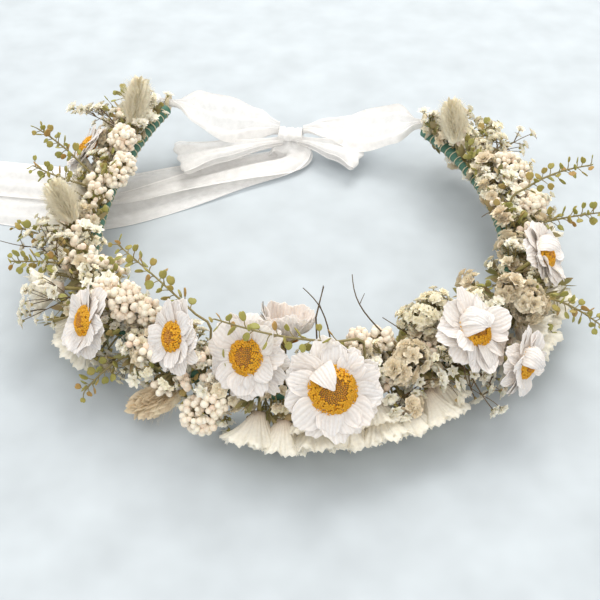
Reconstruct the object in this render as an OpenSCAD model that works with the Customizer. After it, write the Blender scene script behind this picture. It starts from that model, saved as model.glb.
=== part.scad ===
// Dried flower crown: a taped wire hoop that stays open at the back, dressed with
// dried flowers and tied with a sheer ribbon bow that hangs between two wire eyes.
// Millimetres. The origin is on the table, at the middle of the head opening.
// +Z is up and +Y points to the open back, where the bow is.
// A station t runs along the hoop: 0 is the middle of the front, 100 and -100 are the
// right and left sides, where the arms start, and 200 and -200 are the ends of the arms.

/* [Hoop] */
// Height of the hoop's centre line above the table
hoop_z = 18; // [17:0.5:24]
// Radius of the front half of the hoop
hoop_r = 88; // [84:1:110]
// Bend radius of the right arm
right_arm_r = 138; // [120:1:180]
// Length of the right arm
right_arm_len = 88; // [80:1:110]
// Upward tilt of the right arm
right_rise = 2; // [0:0.5:4]
// Bend radius of the left arm
left_arm_r = 200; // [160:1:260]
// Length of the left arm
left_arm_len = 95; // [86:1:115]
// Upward tilt of the left arm
left_rise = 6; // [4:0.5:8]
// Radius of the hoop wire
wire_r = 1; // [0.7:0.05:1.1]
// Radius of one bound stem
bound_stem_r = 0.5; // [0.3:0.05:0.6]
// Thickness of the florist's tape
tape_wall = 0.5; // [0.3:0.05:1]
// Radius of the binding thread
thread_r = 0.25; // [0.15:0.05:0.4]
// Distance between turns of the binding thread
thread_pitch = 4; // [3.5:0.1:6]

/* [Flowers] */
// Thickness of a ring of daisy petals
petal_t = 2.4; // [1.5:0.1:2.8]
// Share of a daisy's radius that its yellow centre takes
centre_share = 0.36; // [0.28:0.01:0.42]
// Length of a statice funnel
funnel_len = 13; // [10:0.5:14]
// Downward tilt of the statice funnels
funnel_dip = 40; // [35:1:50]
// Radius of a baby's-breath floret
floret_r = 2.4; // [1.8:0.1:2.8]
// Radius of a pennycress pod
pod_r = 2.3; // [1.8:0.1:2.8]
// Thickness of a pennycress pod
pod_t = 0.9; // [0.6:0.1:1.2]
// Radius of a flower stem
stem_r = 0.7; // [0.5:0.05:0.9]
// Radius of a fine branch
twig_r = 0.35; // [0.3:0.05:0.5]

/* [Ribbon] */
// Radius of the wire eyes at the ends of the arms, to the middle of their wire
eye_r = 4.4; // [3.8:0.1:6]
// Radius of the wire that the eyes are bent from
eye_wire_r = 1; // [0.7:0.05:1.2]
// Clearance of the gathered ribbon in its eye
neck_gap = 0.4; // [0.3:0.1:0.8]
// Length of the gathered neck
neck_len = 12; // [10:1:20]
// Radius of the stopper knots
stopper_r = 5; // [4:0.1:5.5]
// Outer radius of the bow's knot
knot_r = 6; // [5.5:0.1:7]
// Length of the bow's knot
knot_len = 14; // [13:1:18]
// Clearance of the tails in the knot
knot_gap = 0.4; // [0.3:0.1:0.6]
// Width of the bands where they reach the knot
band_w = 16; // [12:1:20]
// Width of each tail
tail_w = 26; // [20:1:30]
// Thickness of one layer of gathered ribbon
layer_t = 1.6; // [1:0.1:1.8]

/* [Hidden] */
$fn = 36;
arc_fn = 360;
bar_fn = 16;
fit = 0.1;
joint_gap = 0.4;
fork_r = 1.2;
floret_fn = 24;
core_gap = 0.15;
// Middle of the bow's knot
bow_at = [-5, 96, 8];
// How far the tails may turn in the knot, from lying flat to hanging
tail_turn = 100;
// Direction in which the tails leave the knot, in degrees from +Y towards +Z
tail_exit = 208;
// The tails' middle lines on the table, from the knot outwards
upper_tail = [[-7, 86], [-30, 78], [-60, 67], [-88, 58], [-118, 64], [-152, 70]];
lower_tail = [[-9, 84], [-34, 72], [-62, 56], [-92, 43], [-122, 44], [-150, 50]];
// Loops of the bow: side, length, width, yaw away from the chord
loops = [[-1, 48, 20, 17], [1, 30, 18, 22]];
loop_z = [4, 12];

// Ring of stems round the wire, inside the tape
bundle_orbit = wire_r + bound_stem_r + core_gap;
tape_ir = bundle_orbit + bound_stem_r + core_gap;
tape_or = tape_ir + tape_wall;
thread_orbit = tape_or + thread_r + 0.05;
bead_r = wire_r + 0.4;
eye_hole_r = eye_r - eye_wire_r;
neck_r = eye_hole_r - neck_gap;
root_r = knot_r - 3.2;

// Length of a quarter of the front, and the arms' bend angles
quarter = hoop_r * PI / 2;
right_bend = right_arm_len / right_arm_r * 180 / PI;
left_bend = left_arm_len / left_arm_r * 180 / PI;

function unit(v) = v / norm(v);

// Station of the nearest foot place, which lies midway between two turns of thread
function snap(t) =
    let (side = sign(t), a = abs(t), arm = side > 0 ? right_arm_len : left_arm_len,
         len = a <= 100 ? a / 100 * quarter : (a - 100) / 100 * arm,
         snapped = thread_pitch * round(len / thread_pitch))
    a <= 100 ? side * snapped / quarter * 100 : side * (100 + snapped / arm * 100);

// Bend angle at station t, and the points and directions that follow from it
function bend_at(t) =
    abs(t) <= 100 ? 0.9 * t : (abs(t) - 100) / 100 * (t > 0 ? right_bend : left_bend);
function arm_point(t) =
    t > 0 ? [hoop_r - right_arm_r + right_arm_r * cos(bend_at(t)), right_arm_r * sin(bend_at(t))]
          : [left_arm_r - hoop_r - left_arm_r * cos(bend_at(t)), left_arm_r * sin(bend_at(t))];
function lifted(p, rise) = [p[0], p[1] * cos(rise), hoop_z + p[1] * sin(rise)];
function hoop_pos(t) =
    abs(t) <= 100 ? [hoop_r * sin(bend_at(t)), -hoop_r * cos(bend_at(t)), hoop_z]
                  : lifted(arm_point(t), t > 0 ? right_rise : left_rise);
function out_angle(t) =
    abs(t) <= 100 ? bend_at(t) - 90 : (t > 0 ? bend_at(t) : 180 - bend_at(t));
function hoop_out(t) = [cos(out_angle(t)), sin(out_angle(t)), 0];
function hoop_dir(t) = t > 0 ? [-sin(out_angle(t)), cos(out_angle(t)), 0]
                             : [sin(out_angle(t)), -cos(out_angle(t)), 0];
function spot(p) = hoop_pos(p[0]) + p[1] * hoop_out(p[0]) + [0, 0, p[2]];

// Point on the tape's skin where the stem of a head at point p starts
function foot(t, p) =
    let (base = hoop_pos(snap(t)), d = p - base, along = hoop_dir(snap(t)),
         across = unit(d - (d * along) * along))
    base + (tape_or + 3 * fit) * across;

// The chord between the ends of the arms carries both eyes and the bow's swing
left_end = hoop_pos(-200);
right_end = hoop_pos(200);
chord = unit(right_end - left_end);
back = unit(cross([0, 0, 1], chord));
rise = cross(chord, back);
eye_reach = eye_r + eye_wire_r + wire_r + 0.6;
left_eye_at = left_end + eye_reach * back;
right_eye_at = right_end + eye_reach * back;

// Moves local +Z onto direction d at point p
module aim(p, d) {
    translate(p)
        rotate([0, acos(d[2] / norm(d)), atan2(d[1], d[0])])
            children();
}

// Moves local X onto the chord, Y onto its back direction and Z upwards
module on_chord(p) {
    multmatrix([[chord[0], back[0], rise[0], p[0]],
                [chord[1], back[1], rise[1], p[1]],
                [chord[2], back[2], rise[2], p[2]],
                [0, 0, 0, 1]])
        children();
}

// Moves a head to its place p = [station, out, up], facing out, turned and leaning up
module face(p, turn, lean) {
    translate(spot(p))
        rotate([0, 90 - lean, out_angle(p[0]) + turn])
            children();
}

function facing(t, turn, lean) =
    [cos(lean) * cos(out_angle(t) + turn), cos(lean) * sin(out_angle(t) + turn), sin(lean)];

module rod(a, b, r) {
    aim(a, b - a) cylinder(r = r, h = norm(b - a));
}

// Stem from the tape to point p, for a head at station t
module stem(t, p, r = stem_r) {
    rod(foot(t, p), p, r);
}

// Frames in which each part of the hoop is an arc about the local Z axis
module front_frame() {
    translate([0, 0, hoop_z]) rotate([0, 0, 180]) children();
}
module right_frame() {
    translate([0, 0, hoop_z]) rotate([right_rise, 0, 0])
        translate([hoop_r - right_arm_r, 0, 0]) children();
}
module left_frame() {
    translate([0, 0, hoop_z]) rotate([left_rise, 0, 0])
        translate([left_arm_r - hoop_r, 0, 0]) rotate([0, 0, 180 - left_bend]) children();
}

// Arc of a round bar that runs from angle a0 to a1, at an orbit round the centre line
module arc_bar(radius, a0, a1, r, orbit = 0, spin = 0) {
    rotate([0, 0, a0])
        rotate_extrude(angle = a1 - a0, $fn = arc_fn)
            translate([radius + orbit * cos(spin), orbit * sin(spin)]) circle(r, $fn = bar_fn);
}

module arc_tube(radius, a0, a1) {
    rotate([0, 0, a0])
        rotate_extrude(angle = a1 - a0, $fn = arc_fn)
            translate([radius, 0]) difference() {
                circle(tape_or);
                circle(tape_ir);
            }
}

module thread_turn(radius, a) {
    rotate([0, 0, a]) translate([radius, 0, 0]) rotate([90, 0, 0])
        rotate_extrude() translate([thread_orbit, 0]) circle(thread_r);
}

// Angle that a length takes on an arc
function span(len, radius) = len / radius * 180 / PI;

module hoop_wire() {
    tip = 1;
    color("dimgray") {
        front_frame() arc_bar(hoop_r, 0, 180, wire_r);
        right_frame() arc_bar(right_arm_r, 0, right_bend + span(tip, right_arm_r), wire_r);
        left_frame() arc_bar(left_arm_r, -span(tip, left_arm_r), left_bend, wire_r);
        for (side = [-1, 1])
            translate([side * hoop_r, 0, hoop_z]) sphere(bead_r);
    }
}

// Flower stems laid along the wire, under the tape
module bound_stems() {
    count = 5;
    clear = bead_r + 1;
    color("darkkhaki") for (i = [0:count - 1]) {
        spin = 360 / count * i + 18;
        stagger = 6 * i;
        front_frame() arc_bar(hoop_r, span(clear, hoop_r) + stagger,
            180 - span(clear, hoop_r) - 6 * (count - 1) + stagger, bound_stem_r, bundle_orbit, spin);
        right_frame() arc_bar(right_arm_r, span(clear, right_arm_r), right_bend - 1 - i,
            bound_stem_r, bundle_orbit, spin);
        left_frame() arc_bar(left_arm_r, 1 + i, left_bend - span(clear, left_arm_r),
            bound_stem_r, bundle_orbit, spin);
    }
}

module tape_front() {
    color("seagreen") front_frame() arc_tube(hoop_r, 0, 180);
}
module tape_right_arm() {
    color("seagreen") right_frame() arc_tube(right_arm_r, span(joint_gap, right_arm_r), right_bend);
}
module tape_left_arm() {
    color("seagreen") left_frame() arc_tube(left_arm_r, 0, left_bend - span(joint_gap, left_arm_r));
}

// Turns of thread over the tape, where the back half of the hoop is left bare
module binding_thread() {
    bare_front = 0.4 * quarter;
    color("wheat") {
        for (d = [thread_pitch / 2:thread_pitch:quarter]) {
            if (d > quarter - bare_front) {
                front_frame() thread_turn(hoop_r, 90 + span(d, hoop_r));
                front_frame() thread_turn(hoop_r, 90 - span(d, hoop_r));
            }
        }
        for (d = [thread_pitch / 2:thread_pitch:right_arm_len - 1])
            right_frame() thread_turn(right_arm_r, span(d, right_arm_r));
        for (d = [thread_pitch / 2:thread_pitch:left_arm_len - 1])
            left_frame() thread_turn(left_arm_r, left_bend - span(d, left_arm_r));
    }
}

// Paper-covered wire eye in the plane across the chord, with a shank to the hoop wire
module eye(at, t) {
    tip = hoop_pos(t) + 2.2 * hoop_dir(t);
    color("burlywood") {
        on_chord(at) rotate([0, 90, 0])
            rotate_extrude() translate([eye_r, 0]) circle(eye_wire_r);
        rod(at - eye_r * back, tip, eye_wire_r - 0.1);
    }
}
module left_eye() { eye(left_eye_at, -200); }
module right_eye() { eye(right_eye_at, 200); }

// Daisies: [station, out, up], turn, lean, radius, petals
daisies = [
    [[7, 13, 15], 0, 42, 19, 13],
    [[-13, 1, 18], -20, 36, 17, 13],
    [[-32, 3, 20], -28, 30, 15, 12],
    [[45, 8, 17], 8, 52, 17, 13],
    [[51, 25, 6], 8, 14, 14.5, 12],
    [[-57, 13, 12], -12, 30, 15.5, 12],
    [[-5, -15, 15], 165, 66, 13, 11],
    [[83, 12, 14], 0, 40, 15.5, 12],
    [[-150, 15, 9], 8, 40, 14.5, 12]];
centre_growth = [1.22, 1.06, 1, 1, 1, 1, 1, 1, 1];
function hole_r(r) = centre_share * r - 1;

// Ring of petals about local Z, with scalloped tips and a hole for the centre
module petal_ring(r, count) {
    steps = 6 * count;
    translate([0, 0, -petal_t / 2]) linear_extrude(petal_t) difference() {
        polygon([for (i = [0:steps - 1])
            let (a = 360 * i / steps) r * (0.84 + 0.16 * abs(cos(count * a / 2))) * [cos(a), sin(a)]]);
        circle(hole_r(r));
    }
}

// Domed centre, neck through the petals, and green cup below them
module centre_body(r, growth) {
    dome_r = centre_share * r * growth;
    dome_h = 0.45 * dome_r;
    ball_r = (dome_r * dome_r + dome_h * dome_h) / (2 * dome_h);
    cup_h = 2;
    base = petal_t / 2 + fit;
    translate([0, 0, base]) intersection() {
        translate([0, 0, dome_h - ball_r]) sphere(ball_r, $fn = 64);
        cylinder(r = dome_r + 1, h = dome_h + 1);
    }
    translate([0, 0, -base]) cylinder(r = hole_r(r) - 2 * fit, h = 2 * base);
    translate([0, 0, -base - cup_h]) cylinder(r = hole_r(r) + 0.8, h = cup_h);
}
module daisy_petals(i) {
    d = daisies[i - 1];
    color("seashell") face(d[0], d[1], d[2]) petal_ring(d[3], d[4]);
}
module daisy_centre(i) {
    d = daisies[i - 1];
    color("goldenrod") face(d[0], d[1], d[2]) centre_body(d[3], centre_growth[i - 1]);
    color("olivedrab") stem(d[0][0], spot(d[0]) - (petal_t / 2 + 1) * facing(d[0][0], d[1], d[2]));
}

// Statice: papery funnels, each [station, out, up], turn, lean, rim radius.
// A funnel with up 0 opens downwards and rests its rim on the table.
statice_front = [[[-10, 18, 0], -4, -funnel_dip, 10.5], [[4, 19, 0], 0, -funnel_dip, 11],
    [[18, 19, 0], 4, -funnel_dip, 11], [[32, 18, 0], 4, -funnel_dip, 10.5]];
statice_right = [[[66, 21, 0], 6, -funnel_dip, 10.5], [[79, 21, 0], 0, -funnel_dip, 10.5],
    [[108, 19, 0], 0, -funnel_dip, 10]];
statice_left = [[[-63, 18, 0], -5, -funnel_dip, 9.5], [[-77, 25, 6], 0, 8, 9.5],
    [[-116, 19, 0], 0, -funnel_dip, 10]];
function funnel_place(f) =
    [f[0][0], f[0][1], f[0][2] == 0 ? f[3] * cos(f[2]) - hoop_pos(f[0][0])[2] : f[0][2]];

module statice(list) {
    for (f = list) {
        way = facing(f[0][0], f[1], f[2]);
        throat = spot(funnel_place(f)) - funnel_len * way;
        color("cornsilk") aim(throat, way) cylinder(r1 = 2, r2 = f[3], h = funnel_len);
        color("olivedrab") stem(f[0][0], throat + 0.5 * way);
    }
}

// Lumps of small round heads: balls at [station, out, up] with a radius, on one stem
rice_flower_1 = [[[-54, -2, 15], 7], [[-62, 0, 14], 6.5], [[-49, -7, 12], 5.5], [[-60, -7, 11], 5.5]];
rice_flower_2 = [[[-23, 12, -5], 7.5], [[-20, 11, 2], 5]];
rice_flower_3 = [[[134, 11, 10], 7.5], [[142, 10, 11], 6.5]];
rice_flower_4 = [[[119, 14, 4], 7.5], [[112, 12, 8], 6]];
rice_flower_5 = [[[-140, -6, 10], 6], [[-152, -2, 15], 6.5], [[-131, -5, 10], 5.5]];
rice_flower_6 = [[[18, -10, 13], 5.5], [[24, -9, 13], 5]];
yarrow_front = [[[38, -8, 17], 6.5], [[45, -11, 15], 7], [[38, -13, 12], 6]];
yarrow_back = [[[160, 6, 8], 6.5], [[172, 8, 6], 6], [[186, 5, 8], 5.5]];
beige_flower_right = [[[65, 13, 12], 7.5], [[63, 6, 18], 5.5]];
beige_flower_middle = [[[29, 2, 11], 6.5], [[25, 5, 10], 5.5]];
function total(v, i = 0) = i == len(v) ? [0, 0, 0] : v[i] + total(v, i + 1);
// Directions in which ball i of a lump meets its neighbours: the first has the stem, the others
// lean on the first
function meets(list, i) = concat(
    [unit((i == 0 ? foot(list[0][0][0], spot(list[0][0])) : spot(list[0][0])) - spot(list[i][0]))],
    [for (j = [1:len(list) - 1]) let (d = spot(list[j][0]) - spot(list[i][0]))
        if (j != i && norm(d) < list[i][1] + list[j][1]) unit(d)]);
// Ball with its poles and seam turned away from what it meets
module turned_ball(p, r, met) {
    x = -unit(total(met));
    side = cross(met[0], x);
    z = norm(side) > 0.05 ? unit(side) : unit(cross(x, abs(x[2]) < 0.9 ? [0, 0, 1] : [1, 0, 0]));
    y = cross(z, x);
    multmatrix([[x[0], y[0], z[0], p[0]], [x[1], y[1], z[1], p[1]], [x[2], y[2], z[2], p[2]],
                [0, 0, 0, 1]])
        sphere(r);
}
module lump(list, tint) {
    color(tint) for (i = [0:len(list) - 1])
        turned_ball(spot(list[i][0]), list[i][1], meets(list, i));
    color("olivedrab") stem(list[0][0][0], spot(list[0][0]));
}

// Grass heads: root, tip and radius, each a spindle on its own stem
wheat_ear = [[-31, 3, -5], [-39, 18, -10], 6];
bunny_tails = [[[-98, 6, 12], [-104, 14, 27], 6], [[-168, 0, 11], [-181, 0, 28], 6],
    [[168, -3, 10], [182, 0, 25], 6]];
module grass_head(g) {
    a = spot(g[0]);
    b = spot(g[1]);
    r = g[2];
    len = norm(b - a);
    steps = 8;
    color("tan") aim(a, b - a) rotate_extrude() polygon(concat([[0, 0]],
        [for (i = [0:steps]) [0.9 + (r - 0.9) * sin(180 * i / steps), len * i / steps]], [[0, len]]));
    color("olivedrab") stem(g[0][0], a + 0.1 * (b - a));
}

// Baby's breath: a fork, and the florets at the tips of its fine branches
sprays_left = [[[-84, 12, 6], [[-93, 24, 14], [-92, 16, 20], [-87, 10, 19]]],
    [[-70, 12, 8], [[-69, 28, 12], [-71, 32, 2], [-72, 20, 17]]]];
sprays_front = [[[42, 12, 2], [[46, 24, -4], [42, 27, -7], [42, 18, -9], [50, 20, -8], [44, 18, 2]]],
    [[30, 8, 4], [[33, 14, 9], [36, 17, 5], [23, 10, 1], [28, 12, 2]]]];
sprays_left_back = [[[-168, 8, 8], [[-170, 24, 14], [-166, 16, 20], [-176, 20, 10], [-160, 26, 22]]]];
sprays_right_back = [[[151, 5, 9], [[148, 20, 15], [152, 12, 20], [147, 24, 22], [158, 16, 12]]]];
module sprays(list) {
    for (f = list) {
        at = spot(f[0]);
        color("ivory") for (p = f[1]) aim(spot(p), at - spot(p)) rotate([0, 90, 0])
            sphere(floret_r, $fn = floret_fn);
        color("darkolivegreen") {
            for (p = f[1]) rod(at, spot(p), twig_r);
            aim(at, at - foot(f[0][0], at)) sphere(fork_r);
            stem(f[0][0], at, stem_r - 0.2);
        }
    }
}

// Pennycress: root, tip and number of the flat pods, left and right of one stem
sprigs_left_back = [[[-134, 9, 10], [-139, 31, 25], 9], [[-126, 8, 8], [-122, 28, 20], 7]];
sprigs_left = [[[-84, 6, 6], [-81, 29, 17], 9], [[-94, 8, 6], [-98, 30, 10], 7]];
sprigs_inner = [[[-26, -8, 18], [-64, -8, 32], 12], [[16, 0, 23], [-20, 4, 36], 9]];
sprigs_front_left = [[[-48, 5, 0], [-50, 25, -8], 7]];
sprigs_right = [[[110, 2, 16], [111, 33, 30], 9], [[100, 9, 8], [95, 34, 22], 9],
    [[73, 14, 6], [70, 40, 5], 9]];
module sprigs(list) {
    for (g = list) {
        a = spot(g[0]);
        b = spot(g[1]);
        way = unit(b - a);
        side = unit(cross(way, [0, 0, 1]));
        lift = cross(side, way);
        reach = pod_r + 2.2;
        color("olive") {
            rod(foot(g[0][0], a), a, stem_r - 0.2);
            aim(a, b - a) sphere(stem_r - 0.1);
            rod(a, b, stem_r - 0.25);
            for (i = [0:g[2] - 1]) {
                base = a + (0.25 + 0.7 * i / (g[2] - 1)) * (b - a);
                stalk = unit((i % 2 == 0 ? 1 : -1) * side + 0.35 * lift + 0.7 * way);
                pod = base + reach * stalk;
                rod(base, pod - 0.7 * pod_r * stalk, twig_r);
                aim(pod, cross(stalk, [way, lift, side][i % 3])) translate([0, 0, -pod_t / 2])
                    cylinder(r = pod_r, h = pod_t);
            }
        }
    }
}

// Stopper knots outside the eyes
stopper_out = eye_wire_r + 1.4 + stopper_r;
module left_stopper_knot() {
    color("whitesmoke") translate(left_eye_at - stopper_out * chord) sphere(stopper_r);
}
module right_stopper_knot() {
    color("whitesmoke") translate(right_eye_at + stopper_out * chord) sphere(stopper_r);
}

// Band of ribbon: gathered neck through the eye, then a flare to the bow's knot
module band(at, side) {
    neck_end = neck_len - eye_wire_r - 1.2;
    plate = [2, band_w, layer_t];
    color("whitesmoke") {
        on_chord(at) rotate([0, -90 * side, 0])
            translate([0, 0, -eye_wire_r - 1.2]) cylinder(r = neck_r, h = neck_len);
        hull() {
            on_chord(at) translate([-side * neck_end, 0, 0]) rotate([0, -90 * side, 0])
                translate([0, 0, -0.5]) cylinder(r = neck_r - 0.2, h = 1, $fn = 24);
            on_chord(bow_at) translate([side * (knot_len / 2 + 0.3 + plate[0] / 2),
                    0.4 + plate[1] / 2, 3])
                cube(plate, center = true);
        }
    }
}
module left_band() { band(left_eye_at, -1); }
module right_band() { band(right_eye_at, 1); }

// Knot of the bow: a wrap of ribbon with a window below, where the tails come out
module bow_knot() {
    window = knot_len - 3;
    color("whitesmoke") on_chord(bow_at) rotate([90, 0, 90]) difference() {
        translate([0, 0, -knot_len / 2]) cylinder(r = knot_r, h = knot_len);
        translate([0, 0, -knot_len / 2 - 1]) cylinder(r = root_r + knot_gap, h = knot_len + 2);
        rotate([0, 0, tail_exit - 45]) translate([0, 0, -window / 2])
            rotate_extrude(angle = tail_turn + 75) translate([1, 0]) square([knot_r + 2, window]);
    }
}

// Loop of the bow as a flat teardrop that starts at the end of the knot
module bow_loop(l) {
    side = l[0];
    steps = 24;
    start = knot_len / 2 + 0.6;
    color("whitesmoke") translate([bow_at[0], bow_at[1], loop_z[0]])
        mirror([side < 0 ? 1 : 0, 0, 0])
            translate([start, -3.8, 0]) rotate([0, 0, -l[3]])
                linear_extrude(loop_z[1] - loop_z[0]) polygon([for (i = [0:steps - 1])
                    let (a = 360 * i / steps, k = (1 - cos(a)) / 2)
                    [l[1] * k, l[2] / 2 * sin(a) * (0.35 + 0.65 * k)]]);
}
module left_bow_loop() { bow_loop(loops[0]); }
module right_bow_loop() { bow_loop(loops[1]); }

// Outline of a strip along a path, gathered at its start
function path_way(path, i) =
    unit(path[min(i + 1, len(path) - 1)] - path[max(i - 1, 0)]);
function gather(i) = i == 0 ? 0.35 : (i == 1 ? 0.8 : 1);
function path_side(path, i, w) =
    path[i] + gather(i) * w / 2 * [-path_way(path, i)[1], path_way(path, i)[0]];
function strip(path, w) = concat(
    [for (i = [0:len(path) - 1]) path_side(path, i, w)],
    [for (i = [len(path) - 1:-1:0]) path_side(path, i, -w)]);

// Both tails, on a rolled root that turns in the knot
module ribbon_tails() {
    root_len = knot_len - 1;
    neck_w = knot_len - 6;
    color("white") {
        on_chord(bow_at) rotate([90, 0, 90])
            translate([0, 0, -root_len / 2]) cylinder(r = root_r, h = root_len);
        hull() {
            on_chord(bow_at) translate([-neck_w / 2, -1.5, -1]) cube([neck_w, 2, 2]);
            translate([bow_at[0] - neck_w / 2, bow_at[1] - 13, 0])
                cube([neck_w, 2, 2 * layer_t + 0.3]);
        }
        translate([0, 0, layer_t + 0.3]) linear_extrude(layer_t) polygon(strip(upper_tail, tail_w));
        linear_extrude(layer_t) polygon(strip(lower_tail, tail_w));
    }
}

hoop_wire();
left_eye();
right_eye();
bound_stems();
tape_front();
tape_right_arm();
tape_left_arm();
binding_thread();
for (i = [1:len(daisies)]) {
    daisy_petals(i);
    daisy_centre(i);
}
statice(statice_front);
statice(statice_right);
statice(statice_left);
lump(rice_flower_1, "linen");
lump(rice_flower_2, "linen");
lump(rice_flower_3, "linen");
lump(rice_flower_4, "linen");
lump(rice_flower_5, "linen");
lump(rice_flower_6, "linen");
lump(yarrow_front, "beige");
lump(yarrow_back, "beige");
lump(beige_flower_right, "tan");
lump(beige_flower_middle, "tan");
grass_head(wheat_ear);
for (i = [1:len(bunny_tails)])
    grass_head(bunny_tails[i - 1]);
sprays(sprays_left);  // baby_breath_left
sprays(sprays_front);  // baby_breath_front
sprays(sprays_left_back);  // baby_breath_left_back
sprays(sprays_right_back);  // baby_breath_right_back
sprigs(sprigs_left_back);  // pennycress_left_back
sprigs(sprigs_left);  // pennycress_left
sprigs(sprigs_inner);  // pennycress_inner
sprigs(sprigs_front_left);  // pennycress_front_left
sprigs(sprigs_right);  // pennycress_right
left_stopper_knot();
right_stopper_knot();
left_band();
right_band();
bow_knot();
left_bow_loop();
right_bow_loop();
ribbon_tails();
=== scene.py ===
import math
import random

import bmesh
import bpy
import numpy as np
from mathutils import Matrix, Vector


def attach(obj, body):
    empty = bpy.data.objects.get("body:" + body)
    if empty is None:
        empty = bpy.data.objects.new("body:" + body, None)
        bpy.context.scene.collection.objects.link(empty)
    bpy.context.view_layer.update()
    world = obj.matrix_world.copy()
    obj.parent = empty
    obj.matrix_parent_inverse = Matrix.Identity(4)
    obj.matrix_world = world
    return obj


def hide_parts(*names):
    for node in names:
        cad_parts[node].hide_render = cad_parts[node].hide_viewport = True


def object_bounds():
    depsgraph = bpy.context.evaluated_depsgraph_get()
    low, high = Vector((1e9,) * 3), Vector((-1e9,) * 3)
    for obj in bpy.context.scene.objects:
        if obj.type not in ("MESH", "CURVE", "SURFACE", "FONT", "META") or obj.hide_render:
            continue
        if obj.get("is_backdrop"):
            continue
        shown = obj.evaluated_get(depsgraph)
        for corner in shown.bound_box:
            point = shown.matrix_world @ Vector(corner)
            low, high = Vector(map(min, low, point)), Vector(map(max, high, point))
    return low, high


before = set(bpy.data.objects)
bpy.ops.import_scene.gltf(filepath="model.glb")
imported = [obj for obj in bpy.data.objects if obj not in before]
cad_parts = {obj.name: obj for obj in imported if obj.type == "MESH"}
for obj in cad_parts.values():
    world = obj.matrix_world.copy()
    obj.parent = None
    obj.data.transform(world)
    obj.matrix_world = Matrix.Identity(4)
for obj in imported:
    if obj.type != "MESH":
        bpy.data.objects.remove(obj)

bl_info = {
    "name": "Dried flower crown",
    "version": (1, 0, 0),
    "blender": (4, 5, 0),
    "location": "View3D > Sidebar > Flower crown",
    "description": "Builds an open crown of dried flowers tied with a chiffon bow",
    "category": "Object",
}

MM = 0.001
CAD_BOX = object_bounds()

# Sizes in millimetres. A place on the crown is a station along the hoop, 0 at the middle of the
# front, 100 at the sides where the arms start and 200 at their ends (negative on the left), then
# the distance outwards from the hoop's line and the distance above it.
HOOP_R, HOOP_Z = 88, 18
ARMS = {1: (138, 88, 2), -1: (200, 95, 6)}  # radius, length, upward tilt
QUARTER = HOOP_R * math.pi / 2
TAPE_R = 2.8
LOWEST, EASED = 0.3, 0.8  # no point lies under the first height; under the second they ease up

GOLDEN_ANGLE = 2.399963
TURN = 6.2832

# Place, turn, lean, radius and number of petals
DAISIES = [
    ((7, 13, 15), 0, 42, 19, 13),
    ((-13, 1, 18), -20, 36, 17, 13),
    ((-32, 3, 20), -28, 30, 15, 12),
    ((45, 8, 17), 8, 52, 17, 13),
    ((51, 25, 6), 8, 14, 14.5, 12),
    ((-57, 13, 12), -12, 30, 15.5, 12),
    ((-5, -15, 15), 165, 66, 13, 11),
    ((83, 12, 14), 0, 40, 15.5, 12),
    ((-150, 15, 9), 8, 40, 14.5, 12),
]
CENTRE_SHARE = 0.36
CENTRE_GROWTH = {1: 1.22, 2: 1.06}  # the fullest centres swell over the roots of their petals
CUPPED = 7  # the daisy whose petals stand up round its centre
# Directions, in degrees from the lowest petal, of the petals folded back over the centre
FOLDED = {1: (208,), 4: (128, 160, 196, 228), 5: (165, 200), 8: (190,)}

# Place, turn, lean and rim radius; a funnel with up 0 rests its rim on the table
FUNNEL_LEN, DIP = 13, 40
STATICE = {
    "statice_front": [((-10, 18, 0), -4, -DIP, 10.5), ((4, 19, 0), 0, -DIP, 11),
                      ((18, 19, 0), 4, -DIP, 11), ((32, 18, 0), 4, -DIP, 10.5)],
    "statice_right": [((66, 21, 0), 6, -DIP, 10.5), ((79, 21, 0), 0, -DIP, 10.5),
                      ((108, 19, 0), 0, -DIP, 10)],
    "statice_left": [((-63, 18, 0), -5, -DIP, 9.5), ((-77, 25, 6), 0, 8, 9.5),
                     ((-116, 19, 0), 0, -DIP, 10)],
}

# Balls of small heads: place and radius
LUMPS = {
    "rice_flower_1": [((-54, -2, 15), 7), ((-62, 0, 14), 6.5), ((-49, -7, 12), 5.5),
                      ((-60, -7, 11), 5.5)],
    "rice_flower_2": [((-23, 12, -5), 7.5), ((-20, 11, 2), 5)],
    "rice_flower_3": [((134, 11, 10), 7.5), ((142, 10, 11), 6.5)],
    "rice_flower_4": [((119, 14, 4), 7.5), ((112, 12, 8), 6)],
    "rice_flower_5": [((-140, -6, 10), 6), ((-152, -2, 15), 6.5), ((-131, -5, 10), 5.5)],
    "rice_flower_6": [((18, -10, 13), 5.5), ((24, -9, 13), 5)],
    "yarrow_front": [((38, -8, 17), 6.5), ((45, -11, 15), 7), ((38, -13, 12), 6)],
    "yarrow_back": [((160, 6, 8), 6.5), ((172, 8, 6), 6), ((186, 5, 8), 5.5)],
    "beige_flower_right": [((65, 13, 12), 7.5), ((63, 6, 18), 5.5)],
    "beige_flower_middle": [((29, 2, 11), 6.5), ((25, 5, 10), 5.5)],
}

# Root, tip and radius
HEADS = {
    "wheat_ear": ((-31, 3, -5), (-39, 18, -10), 6),
    "bunny_tail_1": ((-98, 6, 12), (-104, 14, 27), 6),
    "bunny_tail_2": ((-168, 0, 11), (-181, 0, 28), 6),
    "bunny_tail_3": ((168, -3, 10), (182, 0, 25), 6),
}

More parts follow.
